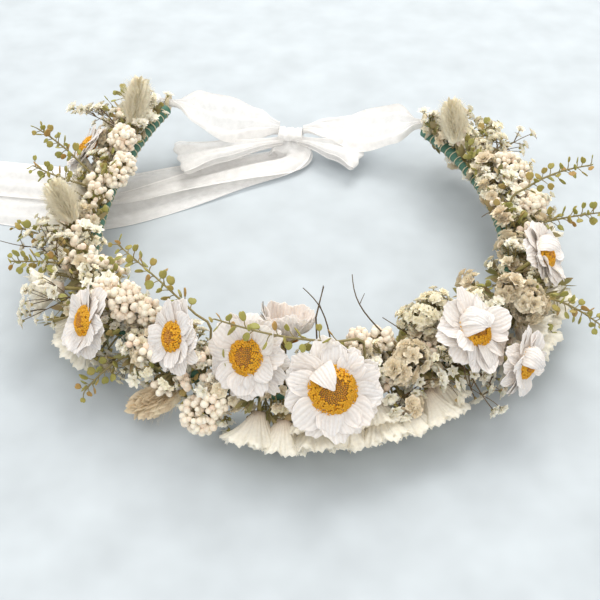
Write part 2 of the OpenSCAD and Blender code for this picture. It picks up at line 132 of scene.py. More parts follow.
# Fork of each spray, then its florets
SPRAYS = {
    "baby_breath_left": [((-84, 12, 6), [(-93, 24, 14), (-92, 16, 20), (-87, 10, 19)]),
                         ((-70, 12, 8), [(-69, 28, 12), (-71, 32, 2), (-72, 20, 17)])],
    "baby_breath_front": [((42, 12, 2), [(46, 24, -4), (42, 27, -7), (42, 18, -9), (50, 20, -8),
                                         (44, 18, 2)]),
                          ((30, 8, 4), [(33, 14, 9), (36, 17, 5), (23, 10, 1), (28, 12, 2)])],
    "baby_breath_left_back": [((-168, 8, 8), [(-170, 24, 14), (-166, 16, 20), (-176, 20, 10),
                                              (-160, 26, 22)])],
    "baby_breath_right_back": [((151, 5, 9), [(148, 20, 15), (152, 12, 20), (147, 24, 22),
                                              (158, 16, 12)])],
}

# Root, tip and number of pods
SPRIGS = {
    "pennycress_left_back": [((-134, 9, 10), (-139, 31, 25), 9), ((-126, 8, 8), (-122, 28, 20), 7)],
    "pennycress_left": [((-84, 6, 6), (-81, 29, 17), 9), ((-94, 8, 6), (-98, 30, 10), 7)],
    "pennycress_inner": [((-26, -8, 18), (-64, -8, 32), 12), ((16, 0, 23), (-20, 4, 36), 9)],
    "pennycress_front_left": [((-48, 5, 0), (-50, 25, -8), 7)],
    "pennycress_right": [((110, 2, 16), (111, 33, 30), 9), ((100, 9, 8), (95, 34, 22), 9),
                         ((73, 14, 6), (70, 40, 5), 9)],
}

# Flat widths of the ribbon, of its fuller first stretch, and one too wide for a selvedge to show
RIBBON_WIDE, BAND_WIDE, NO_SELVEDGE = 26.0, 40.0, 400.0
# Bow: middle of the knot, the eyes, and the tails' middle lines on the table
BOW = Vector((-5, 96, 8))
EYE_L = Vector((-65.37, 97.95, 27.56))
EYE_R = Vector((61.37, 89.09, 20.87))
UPPER_TAIL = [(-7, 86), (-30, 78), (-60, 67), (-88, 58), (-118, 64), (-152, 70)]
LOWER_TAIL = [(-9, 84), (-34, 72), (-62, 56), (-92, 43), (-122, 44), (-150, 50)]


def bend_at(t):
    if abs(t) <= 100:
        return math.radians(0.9 * t)
    radius, length, _ = ARMS[1 if t > 0 else -1]
    return (abs(t) - 100) / 100 * length / radius


def hoop_pos(t):
    a = bend_at(t)
    if abs(t) <= 100:
        return Vector((HOOP_R * math.sin(a), -HOOP_R * math.cos(a), HOOP_Z))
    side = 1 if t > 0 else -1
    radius, _, rise = ARMS[side]
    rise = math.radians(rise)
    x = side * (HOOP_R - radius + radius * math.cos(a))
    y = radius * math.sin(a)
    return Vector((x, y * math.cos(rise), HOOP_Z + y * math.sin(rise)))


def out_angle(t):
    a = bend_at(t)
    if abs(t) <= 100:
        return a - math.pi / 2
    return a if t > 0 else math.pi - a


def hoop_out(t):
    a = out_angle(t)
    return Vector((math.cos(a), math.sin(a), 0))


def spot(place):
    t, out, up = place
    return hoop_pos(t) + out * hoop_out(t) + Vector((0, 0, up))


def facing(t, turn, lean):
    a = out_angle(t) + math.radians(turn)
    b = math.radians(lean)
    return Vector((math.cos(b) * math.cos(a), math.cos(b) * math.sin(a), math.sin(b)))


def face_matrix(place, turn, lean):
    a = out_angle(place[0]) + math.radians(turn)
    return (Matrix.Translation(spot(place)) @ Matrix.Rotation(a, 4, "Z")
            @ Matrix.Rotation(math.radians(90 - lean), 4, "Y"))


def any_roll(rng):
    return rng.uniform(0, 6)


def any_phase(rng):
    return rng.uniform(0, 6.28)


def jitter(rng, amount=1):
    return Vector([rng.uniform(-amount, amount) for _ in range(3)])


def path_length(points):
    return sum((b - a).length for a, b in zip(points, points[1:]))


def foot(t, point):
    """Point on the tape's skin nearest to a point, near station t."""
    base = hoop_pos(t)
    d = point - base
    along = (hoop_pos(t + 0.5) - hoop_pos(t - 0.5)).normalized()
    across = d - d.dot(along) * along
    return base + (TAPE_R - 0.6) * across.normalized()


def aimed(point, way, spin=0.0, scale=1.0):
    """Matrix that takes local +Z onto a direction at a point."""
    turn = way.to_track_quat("Z", "Y").to_matrix().to_4x4()
    return (Matrix.Translation(point) @ turn @ Matrix.Rotation(spin, 4, "Z")
            @ Matrix.Scale(scale, 4))


def planted(rng, end, stalk, size):
    """Matrix that takes local +Y onto a stalk's way at its end, with a random turn about it."""
    across = stalk.cross(jitter(rng)).normalized()
    turn = Matrix((across, stalk, -stalk.cross(across))).transposed().to_4x4()
    return Matrix.Translation(end) @ turn @ Matrix.Scale(size, 4)


def smooth_path(points, per=6):
    """Catmull-Rom points through the given ones."""
    p = [Vector(q) for q in points]
    p = [2 * p[0] - p[1]] + p + [2 * p[-1] - p[-2]]
    path = []
    for i in range(1, len(p) - 2):
        for k in range(per):
            s = k / per
            path.append(0.5 * (2 * p[i] + (p[i + 1] - p[i - 1]) * s
                               + (2 * p[i - 1] - 5 * p[i] + 4 * p[i + 1] - p[i + 2]) * s * s
                               + (3 * p[i] - p[i - 1] - 3 * p[i + 1] + p[i + 2]) * s ** 3))
    path.append(p[-2])
    return path


def wander(rng, a, b, bow=0.08, n=6):
    """Stem line from a to b that bends a little."""
    way = b - a
    off = Vector((rng.uniform(-1, 1), rng.uniform(-1, 1), rng.uniform(-0.4, 1))) * way.length * bow
    return [a + way * (i / n) + off * math.sin(math.pi * i / n) for i in range(n + 1)]


# Small shapes and the bunches made of their copies

THICK_STEM = 0.4  # a stem of a larger radius is rounder and has closed ends


class Shape:
    """Arrays of a mesh, for copying it many times."""

    def __init__(self, mesh, material=0, smooth=True):
        self.co = np.empty(len(mesh.vertices) * 3)
        mesh.vertices.foreach_get("co", self.co)
        self.co = self.co.reshape(-1, 3)
        self.loops = np.empty(len(mesh.loops), np.int32)
        mesh.loops.foreach_get("vertex_index", self.loops)
        self.totals = np.empty(len(mesh.polygons), np.int32)
        mesh.polygons.foreach_get("loop_total", self.totals)
        self.uv = np.zeros(len(mesh.loops) * 2)
        if mesh.uv_layers:
            mesh.uv_layers[0].data.foreach_get("uv", self.uv)
        self.material = material
        self.smooth = smooth


def shape_of(bm, material=0, smooth=True):
    mesh = bpy.data.meshes.new("shape")
    bm.to_mesh(mesh)
    bm.free()
    shape = Shape(mesh, material, smooth)
    bpy.data.meshes.remove(mesh)
    return shape


class Bunch:
    """Copies of shapes gathered in one mesh, each with its own tint; millimetres in, metres out."""

    def __init__(self):
        self.parts = []
        self.lines = []

    def add(self, shape, matrix=None, tint=0.5):
        self.parts.append((shape, matrix, tint))

    def stem(self, points, radii, material=0, tint=0.5):
        if not isinstance(radii, (list, tuple)):
            radii = [radii] * len(points)
        elif len(radii) == 2:
            n = len(points) - 1
            radii = [radii[0] + (radii[1] - radii[0]) * i / n for i in range(n + 1)]
        self.lines.append((points, radii, material, tint))

    def tube(self, kind, lines):
        """Add the stems of one kind, which is their material, tint and whether they are thick."""
        material, tint, thick = kind
        curve = bpy.data.curves.new("stems", "CURVE")
        curve.dimensions = "3D"
        curve.bevel_depth = 1
        curve.bevel_resolution = int(thick)
        curve.use_fill_caps = thick
        for points, radii in lines:
            spline = curve.splines.new("POLY")
            spline.points.add(len(points) - 1)
            for target, point, radius in zip(spline.points, points, radii):
                target.co = (*point, 1)
                target.radius = radius
        holder = bpy.data.objects.new("stems", curve)
        made = bpy.data.meshes.new_from_object(holder)
        self.add(Shape(made, material), None, tint)
        bpy.data.objects.remove(holder)
        bpy.data.curves.remove(curve)
        bpy.data.meshes.remove(made)

    def mesh(self, name):
        kinds = {}
        for points, radii, material, tint in self.lines:
            kind = (material, round(tint, 1), max(radii) > THICK_STEM)
            kinds.setdefault(kind, []).append((points, radii))
        for kind in sorted(kinds):
            self.tube(kind, kinds[kind])
        co, loops, tints = [], [], []
        base = 0
        for shape, matrix, tint in self.parts:
            c = shape.co
            if matrix is not None:
                m = np.array(matrix)
                c = c @ m[:3, :3].T + m[:3, 3]
            co.append(c)
            loops.append(shape.loops + base)
            tints.append(np.full(len(c), tint))
            base += len(c)
        shapes = [part[0] for part in self.parts]
        totals = np.concatenate([shape.totals for shape in shapes])
        starts = np.concatenate(([0], np.cumsum(totals)[:-1])).astype(np.int32)
        mats = [np.full(len(shape.totals), shape.material, np.int32) for shape in shapes]
        smooth = [np.full(len(shape.totals), shape.smooth) for shape in shapes]
        co, loops = np.vstack(co), np.concatenate(loops)
        low = co[:, 2] < EASED
        room = EASED - LOWEST
        co[low, 2] = LOWEST + room * np.exp((co[low, 2] - EASED) / room)
        co *= MM
        mesh = bpy.data.meshes.new(name)
        mesh.vertices.add(len(co))
        mesh.loops.add(len(loops))
        mesh.polygons.add(len(totals))
        mesh.vertices.foreach_set("co", co.ravel())
        mesh.loops.foreach_set("vertex_index", loops)
        mesh.polygons.foreach_set("loop_start", starts)
        mesh.polygons.foreach_set("material_index", np.concatenate(mats))
        mesh.polygons.foreach_set("use_smooth", np.concatenate(smooth))
        mesh.update(calc_edges=True)
        layer = mesh.uv_layers.new(name="UVMap")
        layer.data.foreach_set("uv", np.concatenate([shape.uv for shape in shapes]))
        tint = mesh.attributes.new("tint", "FLOAT", "POINT")
        tint.data.foreach_set("value", np.concatenate(tints))
        mesh.validate()
        return mesh


MATERIALS = {}


def piece(name, mesh, materials, body, nodes=()):
    """Object at the origin that rides on a body and stands for some of its nodes."""
    obj = bpy.data.objects.new(name, mesh)
    bpy.context.scene.collection.objects.link(obj)
    for m in materials:
        mesh.materials.append(m)
    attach(obj, body)
    if nodes:
        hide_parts(*nodes)
    return obj


def crown_piece(bunch, name, keys, nodes=()):
    """Bunch made into a piece that rides on the crown, with the materials of these keys."""
    return piece(name, bunch.mesh(name), [MATERIALS[key] for key in keys], "crown", nodes)


def grid(nu, nv, place):
    """Grid whose points go where place(u, v) says, with u and v from 0 to 1."""
    bm = bmesh.new()
    bm.loops.layers.uv.new("UVMap")
    bmesh.ops.create_grid(bm, x_segments=nu, y_segments=nv, size=0.5, calc_uvs=True)
    for v in bm.verts:
        v.co = place(v.co.x + 0.5, v.co.y + 0.5)
    return bm


def closed(bm):
    bmesh.ops.remove_doubles(bm, verts=bm.verts, dist=1e-5)
    bmesh.ops.recalc_face_normals(bm, faces=bm.faces)
    return bm


def thicken(obj, amount, levels=0):
    solid = obj.modifiers.new("Thickness", "SOLIDIFY")
    solid.thickness = amount
    solid.offset = 0
    if levels:
        soft = obj.modifiers.new("Smooth", "SUBSURF")
        soft.levels = levels
        soft.render_levels = levels
    return obj


def petal_shape(rng, inner, length, width, start, end, pleats=5, twist=0.0, cup=0.16, base=0.34,
                point=0.0):
    """Papery petal that leaves the hole at radius inner and bends from angle start to angle end."""
    shift = any_phase(rng)
    notch = rng.uniform(0.025, 0.07)
    teeth = rng.choice((2, 3, 3, 4))
    steps = 24
    track = [(inner, 0.0, math.radians(start))]
    for i in range(steps):
        a = math.radians(start + (end - start) * (i + 0.5) / steps)
        r, z, _ = track[-1]
        track.append((r + math.cos(a) * length / steps, z + math.sin(a) * length / steps, a))

    def place(u, v):
        x = 2 * u - 1
        half = 0.5 * width * min(1.0, base + 1.25 * v) * (1 - 0.8 * max(0.0, v - 0.70) ** 1.5)
        half *= 1 - point * v ** 1.6
        tip = 1 - 0.26 * x * x - notch * (1 - math.cos(teeth * math.pi * (x + 1) + shift)) * v
        tip += 0.022 * math.sin(17 * x + shift)
        s = min(1.0, v * tip) * steps
        k = min(int(s), steps - 1)
        f = s - k
        r = track[k][0] + (track[k + 1][0] - track[k][0]) * f
        z = track[k][1] + (track[k + 1][1] - track[k][1]) * f
        a = track[k + 1][2]
        ridge = 0.024 * width * math.sin(pleats * math.pi * x + shift) * min(1, 3 * v)
        lift = ridge + cup * half * (x * x) * (0.4 + 0.6 * v) + twist * x * v * half
        lift += 0.05 * width * math.sin(5 * v + shift) * x
        return Vector((r - math.sin(a) * lift, x * half, z + math.cos(a) * lift))

    return grid(10, 12, place)


def frill_shape(rng, rim, length, lobes, cut=0.15, wave=0.1, nu=60, nv=7, throat=2.0, power=1.35,
                fringe=0.0):
    """Frilled trumpet about +Z from its throat, with pleats and a ragged rim."""
    p = [any_phase(rng) for _ in range(5)]

    def place(u, v):
        a = 2 * math.pi * u
        r = throat + (rim - throat) * v ** power
        swell = wave * math.sin(lobes * a + p[0]) + 0.5 * wave * math.sin(2 * lobes * a + p[1])
        r *= 1 + v * v * swell
        cutting = cut * abs(math.sin(lobes * a / 2 + p[2])) + fringe * math.sin(29 * a + p[3])
        z = length * (v - cutting * v ** 3)
        z += 0.06 * rim * v * v * math.sin((lobes + 2) * a + p[4])
        return Vector((r * math.cos(a), r * math.sin(a), z))

    bm = grid(nu, nv, place)
    bmesh.ops.remove_doubles(bm, verts=bm.verts, dist=1e-4)
    return bm


def bud_shape(material=0):
    """Round bud of overlapping scales with a small crown, about +Z, radius 1."""
    bm = bmesh.new()
    bmesh.ops.create_uvsphere(bm, u_segments=8, v_segments=6, radius=1)
    for v in bm.verts:
        a = math.atan2(v.co.y, v.co.x)
        top = max(0.0, v.co.z)
        k = 1 + 0.09 * math.cos(5 * a) * top * (1.2 - top) * 2
        v.co.x *= k
        v.co.y *= k
        v.co.z = v.co.z * 1.12 - 0.25 * max(0.0, v.co.z - 0.85)
    return shape_of(bm, material)


def ruffle_shape(rng, layers=3, material=0, spread=1.0, lobes=6):
    """Small ruffled floret of nested frills, radius about 1."""
    bm = bmesh.new()
    for k in range(layers):
        rim = spread * (1 - 0.88 * k / layers)
        part = frill_shape(rng, rim, 0.42 + 0.5 * k / layers, lobes + k, cut=0.26, wave=0.20,
                           nu=18 - 2 * k, nv=2, throat=0.05, power=0.65)
        mesh = bpy.data.meshes.new("frill")
        part.to_mesh(mesh)
        part.free()
        bm.from_mesh(mesh)
        bpy.data.meshes.remove(mesh)
    return shape_of(bm, material)


def pod_shape(material=0):
    """Flat round pod with a rib and a notch at its tip; stalk at the origin, length 2 along +Y."""
    bm = bmesh.new()
    bmesh.ops.create_uvsphere(bm, u_segments=14, v_segments=6, radius=1)
    for v in bm.verts:
        x, y, z = v.co
        y += 1
        y -= 0.32 * max(0.0, y - 1.3) * math.exp(-(x / 0.28) ** 2)
        rib = 0.10 * math.exp(-(x / 0.16) ** 2)
        rim = 0.05 * math.exp(-((math.hypot(x, y - 1) - 0.86) / 0.1) ** 2)
        z = z * 0.10 + math.copysign(rib + rim, z) * (abs(z) > 0.05)
        v.co = (x * (0.86 + 0.07 * y), y, z + 0.08 * x * x)
    return shape_of(bm, material)


def leaf_shape(width, material=0, camber=0.2):
    """Narrow leaf or scale of length 1 along +Z, hollow towards +X."""
    def place(u, v):
        x = 2 * u - 1
        half = width * math.sin(math.pi * min(1, 0.12 + 0.88 * v)) ** 0.8
        return Vector((camber * (1 - x * x) * half + 0.15 * v * v, x * half, v))
    return shape_of(grid(2, 5, place), material)


def bristle_shape(material=0):
    """Hair of length 1 along +Z."""
    bm = bmesh.new()
    bmesh.ops.create_cone(bm, segments=3, radius1=0.012, radius2=0.002, depth=1, cap_ends=False)
    bmesh.ops.translate(bm, verts=bm.verts, vec=(0, 0, 0.5))
    return shape_of(bm, material)


def on_ball(rng, centre, radius, spacing, avoid=()):
    """Evenly spread points on a ball, none inside another ball: point and outward direction."""
    n = max(8, int(4 * math.pi * radius ** 2 / (spacing ** 2 * 0.87)))
    turn = any_phase(rng)
    found = []
    for i in range(n):
        z = 1 - 2 * (i + 0.5) / n
        a = turn + i * GOLDEN_ANGLE
        k = math.sqrt(1 - z * z)
        way = Vector((k * math.cos(a), k * math.sin(a), z))
        way = (way + 0.16 * Vector([rng.gauss(0, 1) for _ in range(3)])).normalized()
        p = centre + way * radius * rng.uniform(0.9, 1.06)
        if all((p - c).length > r * 0.93 for c, r in avoid):
            found.append((p, way))
    return found


def in_front_of_daisy(p, margin):
    """Whether a point would hide or pierce a daisy's face."""
    for place, turn, lean, r, _ in DAISIES:
        way = facing(place[0], turn, lean)
        d = p - spot(place)
        h = d.dot(way)
        if -2.5 < h < 10 and (d - h * way).length < r * 0.92 + margin:
            return True
    return False


# Sizes and colours that a user would change

def colour(name, description, default):
    return bpy.props.FloatVectorProperty(name=name, description=description, default=default,
                                         subtype="COLOR", size=3, min=0, max=1)


class CrownShape(bpy.types.PropertyGroup):
    petal_thickness: bpy.props.FloatProperty(
        name="Petal thickness", description="Thickness of a dried petal", default=0.00016,
        subtype="DISTANCE", unit="LENGTH")
    bud_spacing: bpy.props.FloatProperty(
        name="Bud spacing", description="Distance between the buds of a rice flower",
        default=0.0027, subtype="DISTANCE", unit="LENGTH")
    hair_length: bpy.props.FloatProperty(
        name="Hair length", description="Length of the hairs on a bunny tail", default=0.006,
        subtype="DISTANCE", unit="LENGTH")
    thread_pitch: bpy.props.FloatProperty(
        name="Thread pitch", description="Distance between turns of the binding thread",
        default=0.004, subtype="DISTANCE", unit="LENGTH")
    filler: bpy.props.IntProperty(
        name="Filler sprigs", description="Number of small sprigs tucked along the hoop",
        default=900, min=0)


class CrownColours(bpy.types.PropertyGroup):
    petal: colour("Petal", "Light part of a daisy's petals", (0.90, 0.855, 0.815))
    # Petal shade is both the petals' darker dried tone and the painted shade in the folds of their pleats
    petal_shade: colour("Petal shade", "Folds and roots of a daisy's petals", (0.68, 0.56, 0.48))
    disc: colour("Centre", "Outer florets of a daisy's centre", (0.88, 0.45, 0.03))
    disc_inner: colour("Centre middle", "Buds in the middle of a daisy's centre", (0.46, 0.20, 0.06))
    cream: colour("Cream", "Statice and small cream florets", (0.95, 0.90, 0.76))
    # Tan is both the aged tone of the cream flowers and the painted shade in the folds of the statice
    tan: colour("Tan", "Aged parts of the cream flowers", (0.74, 0.62, 0.42))
    bud: colour("Rice bud", "Rice flower buds", (0.94, 0.87, 0.73))
    bud_blush: colour("Rice bud blush", "Pink side of the buds", (0.76, 0.55, 0.42))
    breath: colour("Baby's breath", "Baby's breath florets", (0.98, 0.945, 0.83))
    grass: colour("Grass head", "Bunny tails and the wheat ear", (0.93, 0.87, 0.70))
    pod: colour("Pod", "Pennycress pods", (0.31, 0.30, 0.08))
    pod_aged: colour("Aged pod", "Dried pods", (0.42, 0.24, 0.08))
    stalk: colour("Stalk", "Dried stems", (0.22, 0.19, 0.08))
    stalk_dark: colour("Dark stalk", "Thin dark stems", (0.09, 0.065, 0.035))
    tape: colour("Tape", "Florist's tape", (0.06, 0.17, 0.12))
    thread: colour("Thread", "Binding thread", (0.74, 0.68, 0.50))
    paper: colour("Paper", "Paper round the wire eyes", (0.70, 0.60, 0.42))
    chiffon: colour("Chiffon", "Chiffon ribbon", (0.93, 0.915, 0.90))
    floor: colour("Floor", "Floor under the crown", (0.50, 0.55, 0.59))


def rgba(c):
    return (*c, 1.0)


# Materials

def node(tree, kind, inputs=None, **settings):
    made = tree.nodes.new(kind)
    for key, value in settings.items():
        setattr(made, key, value)
    for key, value in (inputs or {}).items():
        if isinstance(value, bpy.types.NodeSocket):
            tree.links.new(value, made.inputs[key])
        else:
            made.inputs[key].default_value = value
    return made


def maths(tree, operation, a, b=0.0, c=0.5, clamp=False):
    made = node(tree, "ShaderNodeMath", {0: a, 1: b, 2: c}, operation=operation, use_clamp=clamp)
    return made.outputs[0]


def mix(tree, factor, a, b, blend="MIX"):
    made = node(tree, "ShaderNodeMix", {0: factor, 6: a, 7: b}, data_type="RGBA", blend_type=blend)
    return made.outputs[2]


def new_group(name, inputs, outputs):
    tree = bpy.data.node_groups.new(name, "ShaderNodeTree")
    for label, kind, default in inputs:
        tree.interface.new_socket(label, in_out="INPUT", socket_type=kind).default_value = default
    for label, kind in outputs:
        tree.interface.new_socket(label, in_out="OUTPUT", socket_type=kind)
    return tree, tree.nodes.new("NodeGroupInput").outputs, tree.nodes.new("NodeGroupOutput").inputs


def dried_tone():
    """Two tones of a dried plant, mixed by each copy's tint and a mottle, with fine grain."""
    tree, i, o = new_group(
        "Dried tone",
        [("Light", "NodeSocketColor", (1, 1, 1, 1)), ("Dark", "NodeSocketColor", (0.5, 0.4, 0.3, 1)),
         ("Spread", "NodeSocketFloat", 0.6), ("Mottle", "NodeSocketFloat", 0.5),
         ("Scale", "NodeSocketFloat", 400.0)],
        [("Colour", "NodeSocketColor"), ("Grain", "NodeSocketFloat")])
    place = node(tree, "ShaderNodeTexCoord").outputs["Object"]
    blot = node(tree, "ShaderNodeTexNoise", {"Vector": place, "Scale": i["Scale"], "Detail": 3.0})
    fine = node(tree, "ShaderNodeTexNoise",
                {"Vector": place, "Scale": maths(tree, "MULTIPLY", i["Scale"], 5.0), "Detail": 2.0})
    tint = node(tree, "ShaderNodeAttribute", attribute_name="tint").outputs["Fac"]
    spread = maths(tree, "MULTIPLY", maths(tree, "SUBTRACT", tint, 0.15), i["Spread"])
    patch = maths(tree, "MULTIPLY", maths(tree, "SUBTRACT", blot.outputs["Fac"], 0.45), i["Mottle"])
    factor = maths(tree, "ADD", spread, patch, clamp=True)
    shade = maths(tree, "MULTIPLY_ADD", fine.outputs["Fac"], 0.3, 0.85)
    base = mix(tree, factor, i["Light"], i["Dark"])
    tree.links.new(mix(tree, 1.0, base, shade, "MULTIPLY"), o["Colour"])
    tree.links.new(fine.outputs["Fac"], o["Grain"])
    return tree


def pleat_lines():
    """Fine ribs along a petal or frill, read from its own UV map; the groove output is the mask of painted
    shade in the folds between the ribs.
    """
    tree, i, o = new_group(
        "Pleat lines", [("Lines", "NodeSocketFloat", 9.0), ("Waver", "NodeSocketFloat", 0.6)],
        [("Height", "NodeSocketFloat"), ("Groove shade", "NodeSocketFloat"), ("Root", "NodeSocketFloat")])
    uv = node(tree, "ShaderNodeUVMap", uv_map="UVMap").outputs[0]
    parts = node(tree, "ShaderNodeSeparateXYZ", {0: uv}).outputs
    place = node(tree, "ShaderNodeTexCoord").outputs["Object"]
    drift = node(tree, "ShaderNodeTexNoise", {"Vector": place, "Scale": 260.0, "Detail": 1.0})
    shift = maths(tree, "MULTIPLY", drift.outputs["Fac"], i["Waver"])
    turns = maths(tree, "MULTIPLY", parts[0], i["Lines"])
    wave = maths(tree, "SINE", maths(tree, "MULTIPLY", maths(tree, "ADD", turns, shift), TURN))
    height = maths(tree, "MULTIPLY_ADD", wave, 0.5, 0.5)
    tree.links.new(height, o["Height"])
    # Painted shade: this mask is high in the folds between the ribs, where shade falls
    tree.links.new(maths(tree, "POWER", maths(tree, "SUBTRACT", 1.0, height), 3.0), o["Groove shade"])
    tree.links.new(maths(tree, "POWER", maths(tree, "SUBTRACT", 1.0, parts[1], clamp=True), 2.5),
                   o["Root"])
    return tree


def chiffon_weave():
    """Crossing threads of chiffon read from the ribbon's UV map, in millimetres, with a selvedge."""
    tree, i, o = new_group(
        "Chiffon weave", [("Threads", "NodeSocketFloat", 2.2), ("Sheer", "NodeSocketFloat", 0.62),
                          ("Width", "NodeSocketFloat", 26.0)],
        [("Height", "NodeSocketFloat"), ("Cover", "NodeSocketFloat")])
    uv = node(tree, "ShaderNodeUVMap", uv_map="UVMap").outputs[0]
    parts = node(tree, "ShaderNodeSeparateXYZ", {0: uv}).outputs
    waves = []
    for part in parts[:2]:
        turns = maths(tree, "MULTIPLY", maths(tree, "MULTIPLY", part, i["Threads"]), TURN)
        waves.append(maths(tree, "SINE", turns))
    cross = maths(tree, "MULTIPLY", waves[0], waves[1])
    slub = node(tree, "ShaderNodeTexNoise", {"Vector": uv, "Scale": 0.35, "Detail": 3.0})
    half = maths(tree, "MULTIPLY", i["Width"], 0.5)
    edge = maths(tree, "DIVIDE", maths(tree, "ABSOLUTE", parts[0]), half)
    selvedge = maths(tree, "GREATER_THAN", edge, 0.955)
    cover = maths(tree, "ADD", i["Sheer"], maths(tree, "MULTIPLY", cross, 0.06))
    uneven = maths(tree, "SUBTRACT", slub.outputs["Fac"], 0.5)
    cover = maths(tree, "ADD", cover, maths(tree, "MULTIPLY", uneven, 0.16))
    cover = maths(tree, "ADD", cover, maths(tree, "MULTIPLY", selvedge, 0.22), clamp=True)
    tree.links.new(cross, o["Height"])
    tree.links.new(cover, o["Cover"])
    return tree


def wrap_lines():
    """Slanted laps of crepe tape or paper wound round a rod that runs along the hoop."""
    tree, i, o = new_group(
        "Wrap lines", [("Laps", "NodeSocketFloat", 150.0), ("Crinkle", "NodeSocketFloat", 900.0)],
        [("Height", "NodeSocketFloat"), ("Lap", "NodeSocketFloat")])
    place = node(tree, "ShaderNodeTexCoord").outputs["Object"]
    parts = node(tree, "ShaderNodeSeparateXYZ", {0: place}).outputs
    along = maths(tree, "ADD", parts[1], maths(tree, "MULTIPLY", parts[0], 0.35))
    along = maths(tree, "ADD", along, maths(tree, "MULTIPLY", parts[2], 0.6))
    lap = maths(tree, "FRACT", maths(tree, "MULTIPLY", along, i["Laps"]))
    crinkle = node(tree, "ShaderNodeTexNoise",
                   {"Vector": place, "Scale": i["Crinkle"], "Detail": 4.0, "Distortion": 0.6})
    height = maths(tree, "ADD", maths(tree, "MULTIPLY", lap, 0.6), crinkle.outputs["Fac"])
    tree.links.new(height, o["Height"])
    tree.links.new(maths(tree, "POWER", lap, 6.0), o["Lap"])
    return tree


def use(tree, name, inputs=None):
    """Outputs of a group node that is placed in a material."""
    return node(tree, "ShaderNodeGroup", inputs, node_tree=bpy.data.node_groups[name]).outputs


def surface(name, roughness=0.6, **sockets):
    """New material, its tree and its Principled shader with constant values on its sockets."""
    mat = bpy.data.materials.new(name)
    mat.use_nodes = True
    tree = mat.node_tree
    shader = tree.nodes["Principled BSDF"]
    shader.inputs["Roughness"].default_value = roughness
    for key, value in sockets.items():
        shader.inputs[key.replace("_", " ")].default_value = value
    return mat, tree, shader


def bump(tree, shader, height, strength, distance):
    made = node(tree, "ShaderNodeBump", {"Strength": strength, "Distance": distance, "Height": height})
    tree.links.new(made.outputs[0], shader.inputs["Normal"])


def papery(name, light, dark, root, lines, spread=0.4, mottle=0.35, depth=0.0003, glow=0.2,
           groove_shade=0.35, root_amount=0.5, scale=180.0):
    """Papery, pleated bract: mottled tone, painted shade in the grooves of its pleats, a darker root, a
    little light through it.
    """
    mat, tree, shader = surface(name, 0.55, Subsurface_Weight=glow, Subsurface_Scale=0.002,
                                Subsurface_Radius=(1.0, 0.8, 0.6), Sheen_Weight=0.15,
                                Specular_IOR_Level=0.3)
    tone = use(tree, "Dried tone", {"Light": rgba(light), "Dark": rgba(dark), "Spread": spread,
                                    "Mottle": mottle, "Scale": scale})
    pleat = use(tree, "Pleat lines", {"Lines": lines})
    # Painted shade: the pleat grooves are mixed towards the dark tone by the groove amount
    base = mix(tree, maths(tree, "MULTIPLY", pleat["Groove shade"], groove_shade), tone["Colour"], rgba(dark))
    base = mix(tree, maths(tree, "MULTIPLY", pleat["Root"], root_amount), base, rgba(root))
    tree.links.new(base, shader.inputs["Base Color"])
    height = maths(tree, "ADD", pleat["Height"], maths(tree, "MULTIPLY", tone["Grain"], 0.4))
    bump(tree, shader, height, 0.45, depth)
    return mat


def mottled(name, light, dark, spread=0.8, mottle=0.6, scale=400.0, roughness=0.65, depth=0.0003,
            glow=0.0, strength=0.5):
    """Dried bud, stem, seed or hair: mottled tone with a fine uneven skin."""
    mat, tree, shader = surface(name, roughness, Subsurface_Weight=glow, Subsurface_Scale=0.0015,
                                Subsurface_Radius=(1.0, 0.7, 0.5), Specular_IOR_Level=0.3)
    tone = use(tree, "Dried tone", {"Light": rgba(light), "Dark": rgba(dark), "Spread": spread,
                                    "Mottle": mottle, "Scale": scale})
    tree.links.new(tone["Colour"], shader.inputs["Base Color"])
    bump(tree, shader, tone["Grain"], strength, depth)
    return mat


def chiffon_material(name, c, width, sheer):
    mat, tree, shader = surface(name, 0.5, Sheen_Weight=0.4, Sheen_Roughness=0.4,
                                Specular_IOR_Level=0.25, Subsurface_Weight=0.4,
                                Subsurface_Scale=0.004, Subsurface_Radius=(1.0, 1.0, 1.0))
    tone = use(tree, "Dried tone", {"Light": rgba(c), "Dark": rgba([0.93 * x for x in c]),
                                    "Spread": 0.2, "Mottle": 0.6, "Scale": 60.0})
    weave = use(tree, "Chiffon weave", {"Width": width, "Sheer": sheer})
    tree.links.new(tone["Colour"], shader.inputs["Base Color"])
    tree.links.new(weave["Cover"], shader.inputs["Alpha"])
    bump(tree, shader, weave["Height"], 0.25, 0.0001)
    return mat


def wrapped(name, tone, laps):
    """Crepe tape or paper wound round a rod, with a paler edge on each lap."""
    mat, tree, shader = surface(name, 0.6, Specular_IOR_Level=0.35, Sheen_Weight=0.1)
    tones = use(tree, "Dried tone", {"Light": rgba(tone), "Dark": rgba([0.6 * x for x in tone]),
                                     "Spread": 0.2, "Mottle": 0.9, "Scale": 220.0})
    wrap = use(tree, "Wrap lines", {"Laps": laps})
    pale = rgba([min(1.0, 0.08 + 1.5 * x) for x in tone])
    base = mix(tree, maths(tree, "MULTIPLY", wrap["Lap"], 0.5), tones["Colour"], pale)
    tree.links.new(base, shader.inputs["Base Color"])
    bump(tree, shader, wrap["Height"], 0.6, 0.0004)
    return mat


